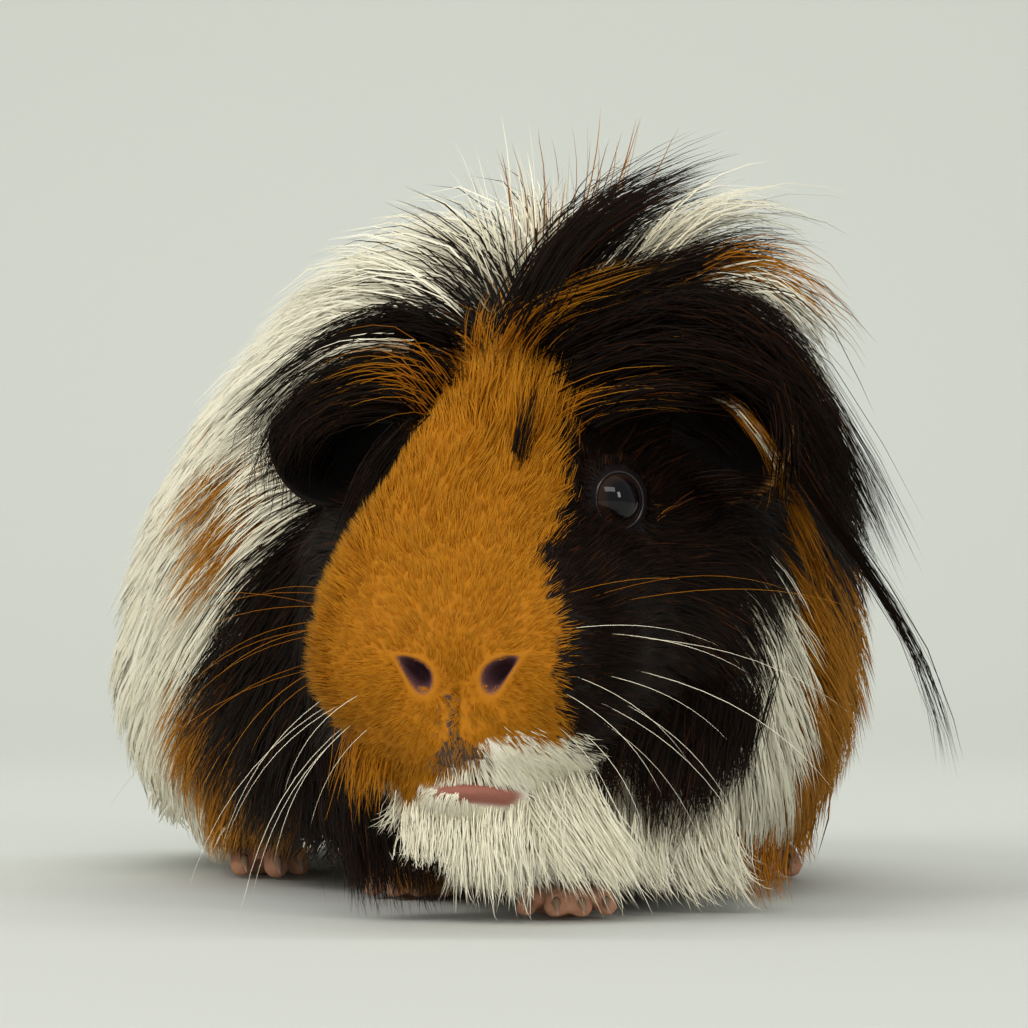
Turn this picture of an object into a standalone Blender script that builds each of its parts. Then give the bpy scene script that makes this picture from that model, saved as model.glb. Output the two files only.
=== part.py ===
"""A life-size guinea pig with a long, swept coat, at rest on the floor.

The solids follow the outside of the coat. The animal faces -Y with +Z up, and its head is turned
a little to its own right, while its body runs back to the left of the head. Lengths are in
millimetres until an object is made, and metres in the scene.
"""

import math

import bmesh
import bpy
import numpy as np
from mathutils import Matrix, Vector

MM = 0.001
GAP = 0.3  # between neighbouring solids

# --- Driving sizes -----------------------------------------------------------------------------

NOSE = Vector((-10.5, -122.0, 0.0))  # point of the floor under the tip of the nose
HEAD_TURN = math.radians(-11.0)  # the head's heading, about +Z, away from -Y
SPINE_X = 5.0  # where the spine runs at the shoulders
SPINE_LEAN = 0.235  # how far it moves to -X for each millimetre back, behind the shoulders
SHOULDER_AT = 90.0  # distance of the shoulders behind the nose
SPINE_BEND = 14.0  # how softly the spine turns there

EYE_RADIUS = 5.0
EYE_SIDE = 13.4  # from the head's middle plane to an eye's centre
EYE_BACK = 37.8  # behind the nose
EYE_HEIGHT = 60.2

EAR_REACH = 9.5  # half of the ear's length, from its root to its tip
EAR_HALF_WIDTH = 10.0
EAR_THICKNESS = 1.6
EAR_SIDE = 31.5
EAR_BACK = 59.0
EAR_HEIGHT = 69.0

TRUNK_FULLNESS = 4.0  # how square the sections are below their widest place; 2 is round
HEAD_FULLNESS = 2.5

# Balls that fill out the head: sides of the head, side, back, height, radii.
HEAD_BALLS = (
    ((-1, 1), 10, 13, 37, (12.8, 12.5, 14)),  # whisker pads
    ((1,), 0, 15, 20, (11.5, 12, 8.5)),  # chin
    ((1,), 0, 44, 26, (24, 22, 20)),  # throat
)
HAUNCH_BACK = 176.0
HAUNCH_SIDE = 33.0  # from the spine
HAUNCH_HEIGHT = 36.0
HAUNCH_RADII = (28, 37, 34)

CREST_CENTRE = (4, -48, 108)
CREST_RADII = (42, 27, 27)
THIGH_BACK = 168.0
THIGH_SIDE = 52.0  # from the spine
THIGH_HEIGHT = 34.0
THIGH_RADII = (26, 34, 32)

HEAD_CUT = 58.0  # behind the nose, where the head ends
NECK_CUT = 103.0
RUMP_CUT = 209.0

# Along the long lock: side, back and height in the head's frame, and the lock's radius.
LOCK = (
    (27, 58, 84, 2.6),
    (34, 55, 75, 2.4),
    (41, 54, 63, 2.1),
    (48, 55, 53, 1.8),
    (54.5, 57, 44, 1.5),
    (59.5, 59, 34, 1.1),
    (61.5, 61, 22, 0.5),
)

FORE_SOLE = (23.0, 15.0, 4)  # length, width, toes
HIND_SOLE = (42.0, 15.0, 3)
ANKLE_HEIGHT = 18.0
STEPS = (  # name, middle toe's tip, heading in degrees, sole, ankle
    ("foreleg_left", (6, -107), 4, FORE_SOLE, (9, -78)),
    ("foreleg_right", (-20, -60), -6, FORE_SOLE, (-20, -34)),
    ("hindfoot_left", (40, -8), 2, HIND_SOLE, (30, 36)),
    ("hindfoot_right", (-37, -4), 12, HIND_SOLE, (-44, 40)),
)

OVAL_POINTS = 36
BODY_FACES = 3700
FOOT_FACES = 260
BODY_VOXEL = 1.8
FOOT_VOXEL = 0.7

# Each row is a section of the trunk with its coat:
# distance behind the nose, half width, top, height of the widest place, bottom.
TRUNK = (
    (36, 14, 30, 20, 9),
    (42, 26, 44, 26, 4),
    (52, 33, 66, 34, 1.8),
    (62, 38, 92, 42, 1.5),
    (72, 43, 110, 48, 1.5),
    (84, 49, 118, 50, 1.5),
    (98, 54, 119, 50, 1.5),
    (114, 58, 113, 48, 1.5),
    (134, 60, 106, 45, 1.5),
    (158, 60, 102, 42, 1.5),
    (182, 58, 97, 40, 1.5),
    (204, 53, 87, 38, 1.5),
    (222, 44, 72, 36, 2.0),
    (236, 31, 55, 33, 5.0),
    (243, 20, 46, 31, 11),
    (247, 9, 37, 29, 20),
)

# The same for the upper head, along the head's own axis: the nose, its bridge and the brow.
SKULL = (
    (0.8, 8.5, 42, 34, 25),
    (4, 13, 47, 36, 20),
    (10, 16, 53, 38, 16),
    (18, 16, 60, 42, 14),
    (28, 15.2, 68.5, 51, 16),
    (38, 15.4, 77, 57, 20),
    (50, 21, 85, 60, 24),
    (62, 28, 90, 60, 26),
    (75, 33, 92, 58, 28),
)

# And for the wedge of the whisker pads, jaws and cheeks.
CHEEKS = (
    (2.5, 12, 44, 35, 26),
    (7, 19.5, 50, 36, 19),
    (14, 22, 54, 37, 15),
    (24, 22.6, 57, 38, 11),
    (34, 24.6, 60, 39, 8),
    (45, 31, 68, 44, 7),
    (56, 36.5, 76, 48, 7),
    (68, 38, 80, 50, 7),
)

# --- Frames --------------------------------------------------------------------------------------


def head_point(side, back, height):
    """A point given by its distance to the animal's left, behind the nose and above the floor."""
    turn = Matrix.Rotation(HEAD_TURN, 3, "Z")
    return NOSE + turn @ Vector((side, back, 0)) + Vector((0, 0, height))


def spine_point(back):
    """The middle of the trunk, and the direction across it, at this distance behind the nose."""
    late = math.exp((back - SHOULDER_AT) / SPINE_BEND)
    lag = SPINE_BEND * math.log1p(late)
    share = late / (1 + late)
    across = Vector((1, SPINE_LEAN * share, 0)).normalized()
    return Vector((SPINE_X - SPINE_LEAN * lag, NOSE.y + back, 0)), across


# --- Shapes --------------------------------------------------------------------------------------


def new_object(name, bm):
    """A smooth-shaded object from a bmesh in millimetres."""
    bmesh.ops.recalc_face_normals(bm, faces=bm.faces)
    mesh = bpy.data.meshes.new(name)
    bm.to_mesh(mesh)
    bm.free()
    mesh.transform(Matrix.Scale(MM, 4))
    mesh.shade_smooth()
    obj = bpy.data.objects.new(name, mesh)
    bpy.context.scene.collection.objects.link(obj)
    return obj


def oval(half_width, top, girth, bottom, fullness):
    """(across, height) round a section that is widest at the girth and fuller below it."""
    points = []
    for i in range(OVAL_POINTS):
        turn = 2 * math.pi * i / OVAL_POINTS
        c, s = math.cos(turn), math.sin(turn)
        power = 1.0 if s >= 0 else 2 / fullness
        reach = (top - girth) if s >= 0 else (girth - bottom)
        across = half_width * math.copysign(abs(c) ** power, c)
        points.append((across, girth + reach * math.copysign(abs(s) ** power, s)))
    return points


def smooth_rows(rows, between=4):
    """The rows with a Catmull-Rom curve's points put between them."""
    rows = [np.array(row, float) for row in rows]
    ends = [2 * rows[0] - rows[1], *rows, 2 * rows[-1] - rows[-2]]
    made = []
    for a, b, c, d in zip(ends, ends[1:], ends[2:], ends[3:]):
        for k in range(between):
            t = k / between
            bend = (2 * a - 5 * b + 4 * c - d) * t * t + (3 * b - a - 3 * c + d) * t**3
            made.append(0.5 * (2 * b + (c - a) * t + bend))
    return [*made, rows[-1]]


def loft(bm, rows, place, fullness):
    """Skins the sections named by rows. place turns (back, across, height) into a point."""
    rings = []
    for back, half_width, top, girth, bottom in smooth_rows(rows):
        ring = oval(half_width, top, girth, bottom, fullness)
        rings.append([bm.verts.new(place(back, x, z)) for x, z in ring])
    for near, far in zip(rings, rings[1:]):
        for i in range(len(near)):
            j = (i + 1) % len(near)
            bm.faces.new((near[i], near[j], far[j], far[i]))
    for ring in (rings[0], rings[-1]):
        centre = sum((v.co for v in ring), Vector()) / len(ring)
        pole = bm.verts.new(centre)
        for i in range(len(ring)):
            bm.faces.new((ring[i - 1], ring[i], pole))


def ellipsoid(bm, centre, radii, turn=None, segments=24):
    """A ball stretched to three radii, turned by a matrix."""
    shape = Matrix.Translation(centre)
    if turn is not None:
        shape = shape @ turn.to_4x4()
    shape = shape @ Matrix.Diagonal((*radii, 1))
    bmesh.ops.create_uvsphere(bm, u_segments=segments, v_segments=segments // 2, radius=1, matrix=shape)


def limb(bm, points, radii, steps=5):
    """A chain of balls along a bent line, close enough to blend into one limb."""
    for (a, b), (ra, rb) in zip(zip(points, points[1:]), zip(radii, radii[1:])):
        for k in range(steps + 1):
            t = k / steps
            radius = ra + (rb - ra) * t
            ellipsoid(bm, a.lerp(b, t), (radius,) * 3, segments=14)


def with_modifiers(obj):
    """Replaces the object's mesh by what its modifiers make of it."""
    graph = bpy.context.evaluated_depsgraph_get()
    mesh = bpy.data.meshes.new_from_object(obj.evaluated_get(graph))
    obj.modifiers.clear()
    obj.data = mesh
    return obj


def melted(obj, voxel, faces, smoothing=6):
    """Joins overlapping shapes into one smooth skin with about this many triangles."""
    remesh = obj.modifiers.new("Join", "REMESH")
    remesh.mode = "VOXEL"
    remesh.voxel_size = voxel * MM
    soften = obj.modifiers.new("Soften", "SMOOTH")
    soften.factor = 0.5
    soften.iterations = smoothing
    with_modifiers(obj)
    triangles = 2 * len(obj.data.polygons)
    thin = obj.modifiers.new("Thin", "DECIMATE")
    thin.ratio = min(1.0, faces / triangles)
    thin.use_collapse_triangulate = True
    return with_modifiers(obj)


def cut_flat(obj, point, normal):
    """Removes what lies beyond a plane, and closes the cut with a flat face."""
    bm = bmesh.new()
    bm.from_mesh(obj.data)
    everything = bm.verts[:] + bm.edges[:] + bm.faces[:]
    bmesh.ops.bisect_plane(
        bm, geom=everything, plane_co=point * MM, plane_no=normal, clear_outer=True, dist=1e-7
    )
    rim = [edge for edge in bm.edges if edge.is_boundary]
    bmesh.ops.holes_fill(bm, edges=rim, sides=0)
    bmesh.ops.triangulate(bm, faces=[face for face in bm.faces if len(face.verts) > 4])
    bmesh.ops.recalc_face_normals(bm, faces=bm.faces)
    bm.to_mesh(obj.data)
    bm.free()
    return obj


def copy_of(obj, name):
    twin = bpy.data.objects.new(name, obj.data.copy())
    bpy.context.scene.collection.objects.link(twin)
    return twin


def swollen(obj, by):
    """A copy grown by this many millimetres, to cut room for the object in its neighbour."""
    twin = copy_of(obj, obj.name + "_room")
    grow = twin.modifiers.new("Grow", "DISPLACE")
    grow.strength = by * MM
    grow.mid_level = 0.0
    return with_modifiers(twin)


def largest_body(obj):
    """Drops the crumbs that a Boolean can leave."""
    bm = bmesh.new()
    bm.from_mesh(obj.data)
    left, bodies = set(bm.verts), []
    while left:
        todo, body = [left.pop()], set()
        while todo:
            vert = todo.pop()
            body.add(vert)
            near = {edge.other_vert(vert) for edge in vert.link_edges} & left
            left -= near
            todo += near
        bodies.append(body)
    bodies.sort(key=len)
    bmesh.ops.delete(bm, geom=[v for body in bodies[:-1] for v in body], context="VERTS")
    bm.to_mesh(obj.data)
    bm.free()
    return obj


def boolean(obj, cutter, operation):
    """Applies a Boolean with the cutter, which is kept."""
    change = obj.modifiers.new("Cut", "BOOLEAN")
    change.operation = operation
    change.solver = "EXACT"
    change.object = cutter
    return largest_body(with_modifiers(obj))


def removed(*objects):
    for obj in objects:
        bpy.data.objects.remove(obj)


# --- The coat's body -----------------------------------------------------------------------------


def trunk_place(back, across, height):
    middle, side = spine_point(back)
    return middle + side * across + Vector((0, 0, height))


def skull_place(back, across, height):
    return head_point(across, back, height)


def whole_body():
    """Head, neck, trunk and haunches as one melted skin."""
    turn = Matrix.Rotation(HEAD_TURN, 3, "Z")
    bm = bmesh.new()
    loft(bm, TRUNK, trunk_place, TRUNK_FULLNESS)
    loft(bm, SKULL, skull_place, HEAD_FULLNESS)
    loft(bm, CHEEKS, skull_place, HEAD_FULLNESS)
    for sides, side, back, height, radii in HEAD_BALLS:
        for way in sides:
            ellipsoid(bm, head_point(way * side, back, height), radii, turn)
    hip, across = spine_point(HAUNCH_BACK)
    for way in (-1, 1):
        centre = hip + across * way * HAUNCH_SIDE + Vector((0, 0, HAUNCH_HEIGHT))
        ellipsoid(bm, centre, HAUNCH_RADII)
    return melted(new_object("body", bm), BODY_VOXEL, BODY_FACES)


def eye(side):
    """An eyeball that faces sideways and a little forward."""
    bm = bmesh.new()
    bmesh.ops.create_icosphere(bm, subdivisions=3, radius=EYE_RADIUS)
    obj = new_object("eye_left" if side > 0 else "eye_right", bm)
    obj.data.transform(Matrix.Translation(head_point(side * EYE_SIDE, EYE_BACK, EYE_HEIGHT) * MM))
    return obj


def ear(side):
    """A petal, cupped forward, that leans out and back from the side of the head."""
    rings, count = 4, 18
    bm = bmesh.new()
    centre = bm.verts.new((0, 0, 0))
    inner = None
    for ring in range(1, rings + 1):
        reach = ring / rings
        verts = []
        for i in range(count):
            turn = 2 * math.pi * i / count
            out = EAR_REACH * reach * math.cos(turn)
            wide = EAR_HALF_WIDTH * reach * math.sin(turn)
            cup = 5.0 * reach**2 - 1.5 * reach * math.cos(turn)
            verts.append(bm.verts.new((out, -cup, wide)))
        for i in range(count):
            j = (i + 1) % count
            if inner is None:
                bm.faces.new((centre, verts[i], verts[j]))
            else:
                bm.faces.new((inner[i], verts[i], verts[j], inner[j]))
        inner = verts
    obj = new_object("ear_left" if side > 0 else "ear_right", bm)
    wall = obj.modifiers.new("Wall", "SOLIDIFY")
    wall.thickness = EAR_THICKNESS * MM
    wall.offset = 0
    with_modifiers(obj)
    lean = Matrix.Rotation(math.radians(20), 4, "Y") @ Matrix.Rotation(math.radians(22), 4, "Z")
    flip = Matrix.Diagonal((side, 1, 1, 1))
    place = Matrix.Translation(head_point(side * EAR_SIDE, EAR_BACK, EAR_HEIGHT) * MM)
    obj.data.transform(place @ Matrix.Rotation(HEAD_TURN, 4, "Z") @ flip @ lean)
    if side < 0:
        obj.data.flip_normals()
    return obj


def foot(name, toe_tip, heading, length, width, toes, ankle):
    """A sole with toes and claws, and the shank that rises from it to the ankle."""
    turn = Matrix.Rotation(heading, 3, "Z")

    def at(across, back, height):
        return toe_tip + turn @ Vector((across, back, height))

    bm = bmesh.new()
    spread = width / toes
    toe_radius = spread * 0.5
    for k in range(toes):
        across = (k - (toes - 1) / 2) * spread
        late = 0.16 * length * abs(2 * k / (toes - 1) - 1) ** 1.5
        knuckle = at(across * 0.8, late + length * 0.42, toe_radius * 1.5)
        tip = at(across, late + toe_radius * 1.6, toe_radius * 0.85)
        limb(bm, (knuckle, tip), (toe_radius * 1.05, toe_radius * 0.85))
        limb(bm, (tip, at(across, late, toe_radius * 0.55)), (toe_radius * 0.7, 0.55), steps=6)
    ellipsoid(bm, at(0, length * 0.55, 2.6), (width * 0.42, length * 0.36, 4.2), turn)
    limb(bm, (at(0, length * 0.72, 4.5), ankle), (width * 0.34, width * 0.5))
    obj = melted(new_object(name, bm), FOOT_VOXEL, FOOT_FACES, smoothing=2)
    return cut_flat(obj, Vector(), Vector((0, 0, -1)))


def feet():
    """Four feet: the left forefoot is set forward, and the right one is drawn back."""
    made = []
    for name, toe_tip, heading, sole, ankle in STEPS:
        tip, top = Vector((*toe_tip, 0)), Vector((*ankle, ANKLE_HEIGHT))
        made.append(foot(name, tip, math.radians(heading), *sole, top))
    return made


def lock():
    """The long lock that hangs from above the left ear and swings out past the shoulder."""
    line = bpy.data.curves.new("lock_left", "CURVE")
    line.dimensions = "3D"
    line.bevel_depth = MM
    line.bevel_resolution = 2
    line.use_fill_caps = True
    rows = smooth_rows([(*head_point(*row[:3]), row[3]) for row in LOCK])
    spline = line.splines.new("POLY")
    spline.points.add(len(rows) - 1)
    for point, row in zip(spline.points, rows):
        point.co = (*(row[:3] * MM), 1)
        point.radius = row[3]
    obj = bpy.data.objects.new("lock_left", line)
    bpy.context.scene.collection.objects.link(obj)
    mesh = bpy.data.meshes.new_from_object(obj.evaluated_get(bpy.context.evaluated_depsgraph_get()))
    removed(obj)
    bm = bmesh.new()
    bm.from_mesh(mesh)
    bmesh.ops.remove_doubles(bm, verts=bm.verts, dist=1e-6)
    bmesh.ops.transform(bm, matrix=Matrix.Scale(1 / MM, 4), verts=bm.verts)
    return new_object("lock_left", bm)


# --- Parting the body ----------------------------------------------------------------------------


def split(obj, name, point, normal):
    """Cuts the object along a plane with a gap. What lies beyond it becomes a new object."""
    normal = normal.normalized()
    beyond = copy_of(obj, name)
    cut_flat(beyond, point + normal * GAP / 2, -normal)
    cut_flat(obj, point - normal * GAP / 2, normal)
    return largest_body(beyond)


def carved(body, name, centre, radii):
    """Takes out what a ball holds, along a rounded face with a gap, as a new object."""
    bm = bmesh.new()
    ellipsoid(bm, centre, radii, segments=14)
    cutter = new_object("cutter", bm)
    piece = copy_of(body, name)
    boolean(piece, cutter, "INTERSECT")
    room = swollen(cutter, GAP)
    boolean(body, room, "DIFFERENCE")
    removed(cutter, room)
    return piece


def thigh(body, side):
    hip, across = spine_point(THIGH_BACK)
    centre = hip + across * side * THIGH_SIDE + Vector((0, 0, THIGH_HEIGHT))
    return carved(body, "thigh_left" if side > 0 else "thigh_right", centre, THIGH_RADII)


def parted(body):
    """The body's named parts, from the head back."""
    thighs = [thigh(body, side) for side in (-1, 1)]
    nape = Matrix.Rotation(HEAD_TURN, 3, "Z") @ Vector((0, 1, 0.12))
    shoulder, _ = spine_point(NECK_CUT)
    hips, across = spine_point(RUMP_CUT)
    crest = carved(body, "crest", Vector(CREST_CENTRE), CREST_RADII)
    neck = split(body, "neck", head_point(0, HEAD_CUT, EYE_HEIGHT), nape)
    trunk = split(neck, "trunk", shoulder, Vector((0, 1, 0)))
    rump = split(trunk, "rump", hips, Vector((-across.y, across.x, 0)))
    body.name = "head"
    return [body, crest, neck, trunk, rump, *thighs]


# --- Materials -----------------------------------------------------------------------------------

COATS = {  # colour, roughness
    "ginger_fur": ((0.44, 0.19, 0.04), 0.75),
    "black_fur": ((0.015, 0.012, 0.012), 0.6),
    "cream_fur": ((0.72, 0.67, 0.57), 0.8),
    "brown_fur": ((0.33, 0.14, 0.04), 0.75),
    "foot_skin": ((0.55, 0.33, 0.25), 0.6),
    "eye": ((0.01, 0.008, 0.008), 0.05),
}

LOOKS = {  # by the first word of a part's name
    "head": "ginger_fur",
    "crest": "cream_fur",
    "neck": "black_fur",
    "trunk": "cream_fur",
    "rump": "cream_fur",
    "thigh": "brown_fur",
    "lock": "black_fur",
    "foreleg": "foot_skin",
    "hindfoot": "foot_skin",
    "ear": "black_fur",
    "eye": "eye",
}


def coat(name):
    found = bpy.data.materials.get(name)
    if found:
        return found
    colour, roughness = COATS[name]
    material = bpy.data.materials.new(name)
    material.use_nodes = True
    shader = material.node_tree.nodes["Principled BSDF"]
    shader.inputs["Base Color"].default_value = (*colour, 1)
    shader.inputs["Roughness"].default_value = roughness
    shader.inputs["Metallic"].default_value = 0.0
    return material


def dressed(obj):
    obj.data.materials.clear()
    obj.data.materials.append(coat(LOOKS[obj.name.split("_")[0]]))


def centred(objects):
    """Moves everything so that the origin is at the middle of the box's bottom."""
    corners = np.array([v.co for obj in objects for v in obj.data.vertices])
    low, high = corners.min(0), corners.max(0)
    shift = Vector((-(low[0] + high[0]) / 2, -(low[1] + high[1]) / 2, -low[2]))
    for obj in objects:
        obj.data.transform(Matrix.Translation(shift))
        obj.data.update()
    print("moved by", [round(x / MM, 2) for x in shift], "mm")


def main():
    for obj in list(bpy.data.objects):
        bpy.data.objects.remove(obj)
    body = whole_body()
    around = swollen(body, GAP)
    eyes = [eye(side) for side in (-1, 1)]
    for ball in eyes:
        room = swollen(ball, GAP)
        boolean(body, room, "DIFFERENCE")
        removed(room)
    small = [ear(-1), ear(1), *feet(), lock()]
    for piece in small:
        boolean(piece, around, "DIFFERENCE")
    ear_room = swollen(small[1], GAP)
    boolean(small[-1], ear_room, "DIFFERENCE")
    removed(around, ear_room)
    parts = [*parted(body), *eyes, *small]
    for obj in parts:
        dressed(obj)
    centred(parts)


main()
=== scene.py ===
import math

import bmesh
import bpy
import numpy as np
from mathutils import Matrix, Vector
from mathutils.bvhtree import BVHTree
from mathutils.kdtree import KDTree


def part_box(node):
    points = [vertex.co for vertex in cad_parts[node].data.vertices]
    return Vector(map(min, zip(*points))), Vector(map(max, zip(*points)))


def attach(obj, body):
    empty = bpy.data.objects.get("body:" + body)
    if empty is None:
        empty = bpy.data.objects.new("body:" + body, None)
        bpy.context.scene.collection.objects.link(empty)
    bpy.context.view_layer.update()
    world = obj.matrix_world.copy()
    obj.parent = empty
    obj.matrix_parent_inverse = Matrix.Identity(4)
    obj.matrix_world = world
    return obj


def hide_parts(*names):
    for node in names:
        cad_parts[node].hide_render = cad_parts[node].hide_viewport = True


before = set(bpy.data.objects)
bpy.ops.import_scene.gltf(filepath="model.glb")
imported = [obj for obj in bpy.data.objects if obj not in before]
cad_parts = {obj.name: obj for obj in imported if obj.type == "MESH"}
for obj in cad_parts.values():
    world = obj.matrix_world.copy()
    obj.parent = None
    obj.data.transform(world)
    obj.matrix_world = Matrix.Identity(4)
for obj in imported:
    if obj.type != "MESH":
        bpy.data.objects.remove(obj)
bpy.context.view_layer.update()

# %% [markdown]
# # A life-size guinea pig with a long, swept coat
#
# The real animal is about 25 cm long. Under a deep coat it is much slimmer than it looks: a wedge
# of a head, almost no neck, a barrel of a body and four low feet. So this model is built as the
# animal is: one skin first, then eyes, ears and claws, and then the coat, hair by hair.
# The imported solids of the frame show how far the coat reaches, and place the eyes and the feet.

MM = 0.001
bpy.ops.object.select_all(action="DESELECT")
scene = bpy.context.scene


def box_mm(node):
    """Lowest and highest corner of a node, in millimetres."""
    low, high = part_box(node)
    return np.array(low) / MM, np.array(high) / MM


def middle_mm(node):
    low, high = box_mm(node)
    return (low + high) / 2


# %% [markdown]
# ## Two ways to name a place
#
# A head that is turned to one side is awkward to model in the room's axes. Here a place on the
# head is given as side (towards the animal's left), back (behind the nose) and height. The eyes
# fix that frame. A place on the body is given by its distance behind the nose, across the spine,
# and height; the spine leans away behind the shoulders.

# %% The head's frame and the spine
EYE_BACK = 37.8  # the eyes' centres behind the nose
SPINE_START = 15.5  # the spine's place to the left of the nose, at the shoulders
SPINE_LEAN = 0.235
SHOULDER_AT = 90.0
SPINE_BEND = 14.0

eye_left, eye_right = middle_mm("eye_left"), middle_mm("eye_right")
UP = np.array([0.0, 0.0, 1.0])
SIDE = (eye_left - eye_right) * [1, 1, 0]
SIDE /= np.linalg.norm(SIDE)
BACK = np.cross(UP, SIDE)
HEAD_TURN = math.atan2(SIDE[1], SIDE[0])
NOSE = (eye_left + eye_right) / 2 * [1, 1, 0] - BACK * EYE_BACK


def on_head(side, back, height):
    """Points from their side, back and height on the head."""
    sideways, backwards = np.multiply.outer(side, SIDE), np.multiply.outer(back, BACK)
    return NOSE + sideways + backwards + np.multiply.outer(height, UP)


def head_frame(points):
    """(side, back, height) of points on the head."""
    away = points - NOSE
    return away @ SIDE, away @ BACK, points[..., 2]


def spine(back):
    """The spine's x, and how much the line across it turns, at these distances behind the nose."""
    late = np.exp((np.asarray(back, float) - SHOULDER_AT) / SPINE_BEND)
    x = NOSE[0] + SPINE_START - SPINE_LEAN * SPINE_BEND * np.log1p(late)
    return x, SPINE_LEAN * late / (1 + late)


def on_body(across, back, height):
    """Points from their place across the spine, behind the nose and over the floor."""
    x, turn = spine(back)
    size = np.sqrt(1 + turn**2)
    return np.stack([x + across / size, NOSE[1] + back + across * turn / size, height + 0 * x], -1)


def body_frame(points):
    """(across the spine, behind the nose, height) of points."""
    back = points[..., 1] - NOSE[1]
    x, turn = spine(back)
    across = (points[..., 0] - x) / np.sqrt(1 + turn**2)
    return across, back - across * turn, points[..., 2]


print("nose over", NOSE[:2].round(1), "and the head turned", round(math.degrees(HEAD_TURN), 1))

# %% [markdown]
# ## Camera, floor and light
#
# The camera stands half a metre in front of the nose, at the height of the chin, and looks a
# little up: a long lens keeps the muzzle from swelling. The room is a pale sweep of floor and
# wall, and the light is a large window to the left with a soft answer from the right.

# %% Camera
LENS_BACK = 512.0  # in front of the nose
LENS_SIDE = 8.0
LENS_HEIGHT = 35.0
LENS_TILT = 2.356
LENS_LENGTH = 132.83

camera = bpy.data.objects.new("camera", bpy.data.cameras.new("camera"))
scene.collection.objects.link(camera)
scene.camera = camera
camera.data.sensor_width = 36
camera.data.lens = LENS_LENGTH
camera.data.clip_start = 0.01
camera.location = Vector((NOSE[0] + LENS_SIDE, NOSE[1] - LENS_BACK, LENS_HEIGHT)) * MM
camera.rotation_euler = (math.radians(90 + LENS_TILT), 0, 0)
print("camera at", [round(1000 * value) for value in camera.location], "mm, tilted up", LENS_TILT)

# %% Floor and wall, one sweep
SWEEP = [  # metres back and up
    (-3.0, 0.0), (-1.5, 0.0), (0.3, 0.0), (0.7, 0.0), (0.95, 0.0),
    (1.15, 0.02), (1.35, 0.12), (1.5, 0.3), (1.56, 0.6), (1.56, 3.0),
]
SWEEP_HALF = 3  # metres to each side


def new_mesh(name, points, faces):
    """A mesh object from arrays of points in millimetres and faces."""
    mesh = bpy.data.meshes.new(name)
    mesh.from_pydata([tuple(p) for p in np.asarray(points) * MM], [], [tuple(f) for f in faces])
    mesh.update()
    obj = bpy.data.objects.new(name, mesh)
    scene.collection.objects.link(obj)
    return obj


sweep_points = [(x / MM, y / MM, z / MM) for y, z in SWEEP for x in (-SWEEP_HALF, SWEEP_HALF)]
sweep_faces = [(i, i + 1, i + 3, i + 2) for i in range(0, 2 * len(SWEEP) - 2, 2)]
floor = new_mesh("floor", sweep_points, sweep_faces)
round_off = floor.modifiers.new("Round", "SUBSURF")
round_off.levels = round_off.render_levels = 3
floor.data.shade_smooth()
print(len(sweep_faces), "faces in the sweep, before it is rounded")

# %% Light


def shader_of(material):
    return material.node_tree.nodes["Principled BSDF"]


def new_material(name, colour, roughness, specular=0.5):
    material = bpy.data.materials.new(name)
    material.use_nodes = True
    shader = shader_of(material)
    shader.inputs["Base Color"].default_value = (*colour, 1)
    shader.inputs["Roughness"].default_value = roughness
    shader.inputs["Specular IOR Level"].default_value = specular
    return material


LIT_PLACE = Vector((0, -0.06, 0.05))  # what every light looks at


def window(name, place, size, power, colour):
    """An area light that looks at the animal. Windows and panes also show in the eyes."""
    light = bpy.data.lights.new(name, "AREA")
    light.shape = "RECTANGLE"
    light.size, light.size_y = size
    light.energy = power
    light.color = colour
    obj = bpy.data.objects.new(name, light)
    scene.collection.objects.link(obj)
    obj.location = place
    aim = LIT_PLACE - obj.location
    obj.rotation_euler = aim.to_track_quat("-Z", "Y").to_euler()
    obj.visible_glossy = name.startswith(("window", "pane"))
    return obj


floor.data.materials.append(new_material("pale_floor", (0.55, 0.56, 0.52), 0.9, 0.2))
world = bpy.data.worlds.new("room")
scene.world = world
world.use_nodes = True
world.node_tree.nodes["Background"].inputs["Color"].default_value = (0.97, 0.98, 0.96, 1)
world.node_tree.nodes["Background"].inputs["Strength"].default_value = 0.36
window("window_left", (-0.78, -0.68, 0.78), (0.5, 0.7), 7.0, (1.0, 0.98, 0.95))
window("window_front", (0.1, -1.1, 0.95), (0.7, 0.4), 4.0, (1.0, 0.99, 0.97))
window("pane_right", (0.66, -1.0, 0.5), (0.2, 0.4), 2.4, (0.95, 0.98, 1.0))
window("low_answer", (-0.1, -1.3, 0.06), (1.2, 0.3), 7.5, (1.0, 0.97, 0.92))
window("top", (0.1, 0.3, 1.2), (1.2, 0.8), 4.0, (0.95, 0.98, 1.0))
wash = window("wall_wash", (0, 0.55, 1.5), (2.4, 0.3), 17.0, (0.97, 1.0, 0.96))
wash.rotation_euler = (math.radians(38), 0, 0)
scene.view_settings.view_transform = "Standard"

# %% [markdown]
# ## The skin
#
# The body is lofted through oval sections, as a boat is through its frames, because a few
# measured sections say more about an animal than any ball does. The muzzle, cheeks, haunches and
# limbs are balls and chains of balls. A voxel remesh melts all of it into one closed skin with no
# seam, which lies inside the solids by the depth of the coat.

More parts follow.
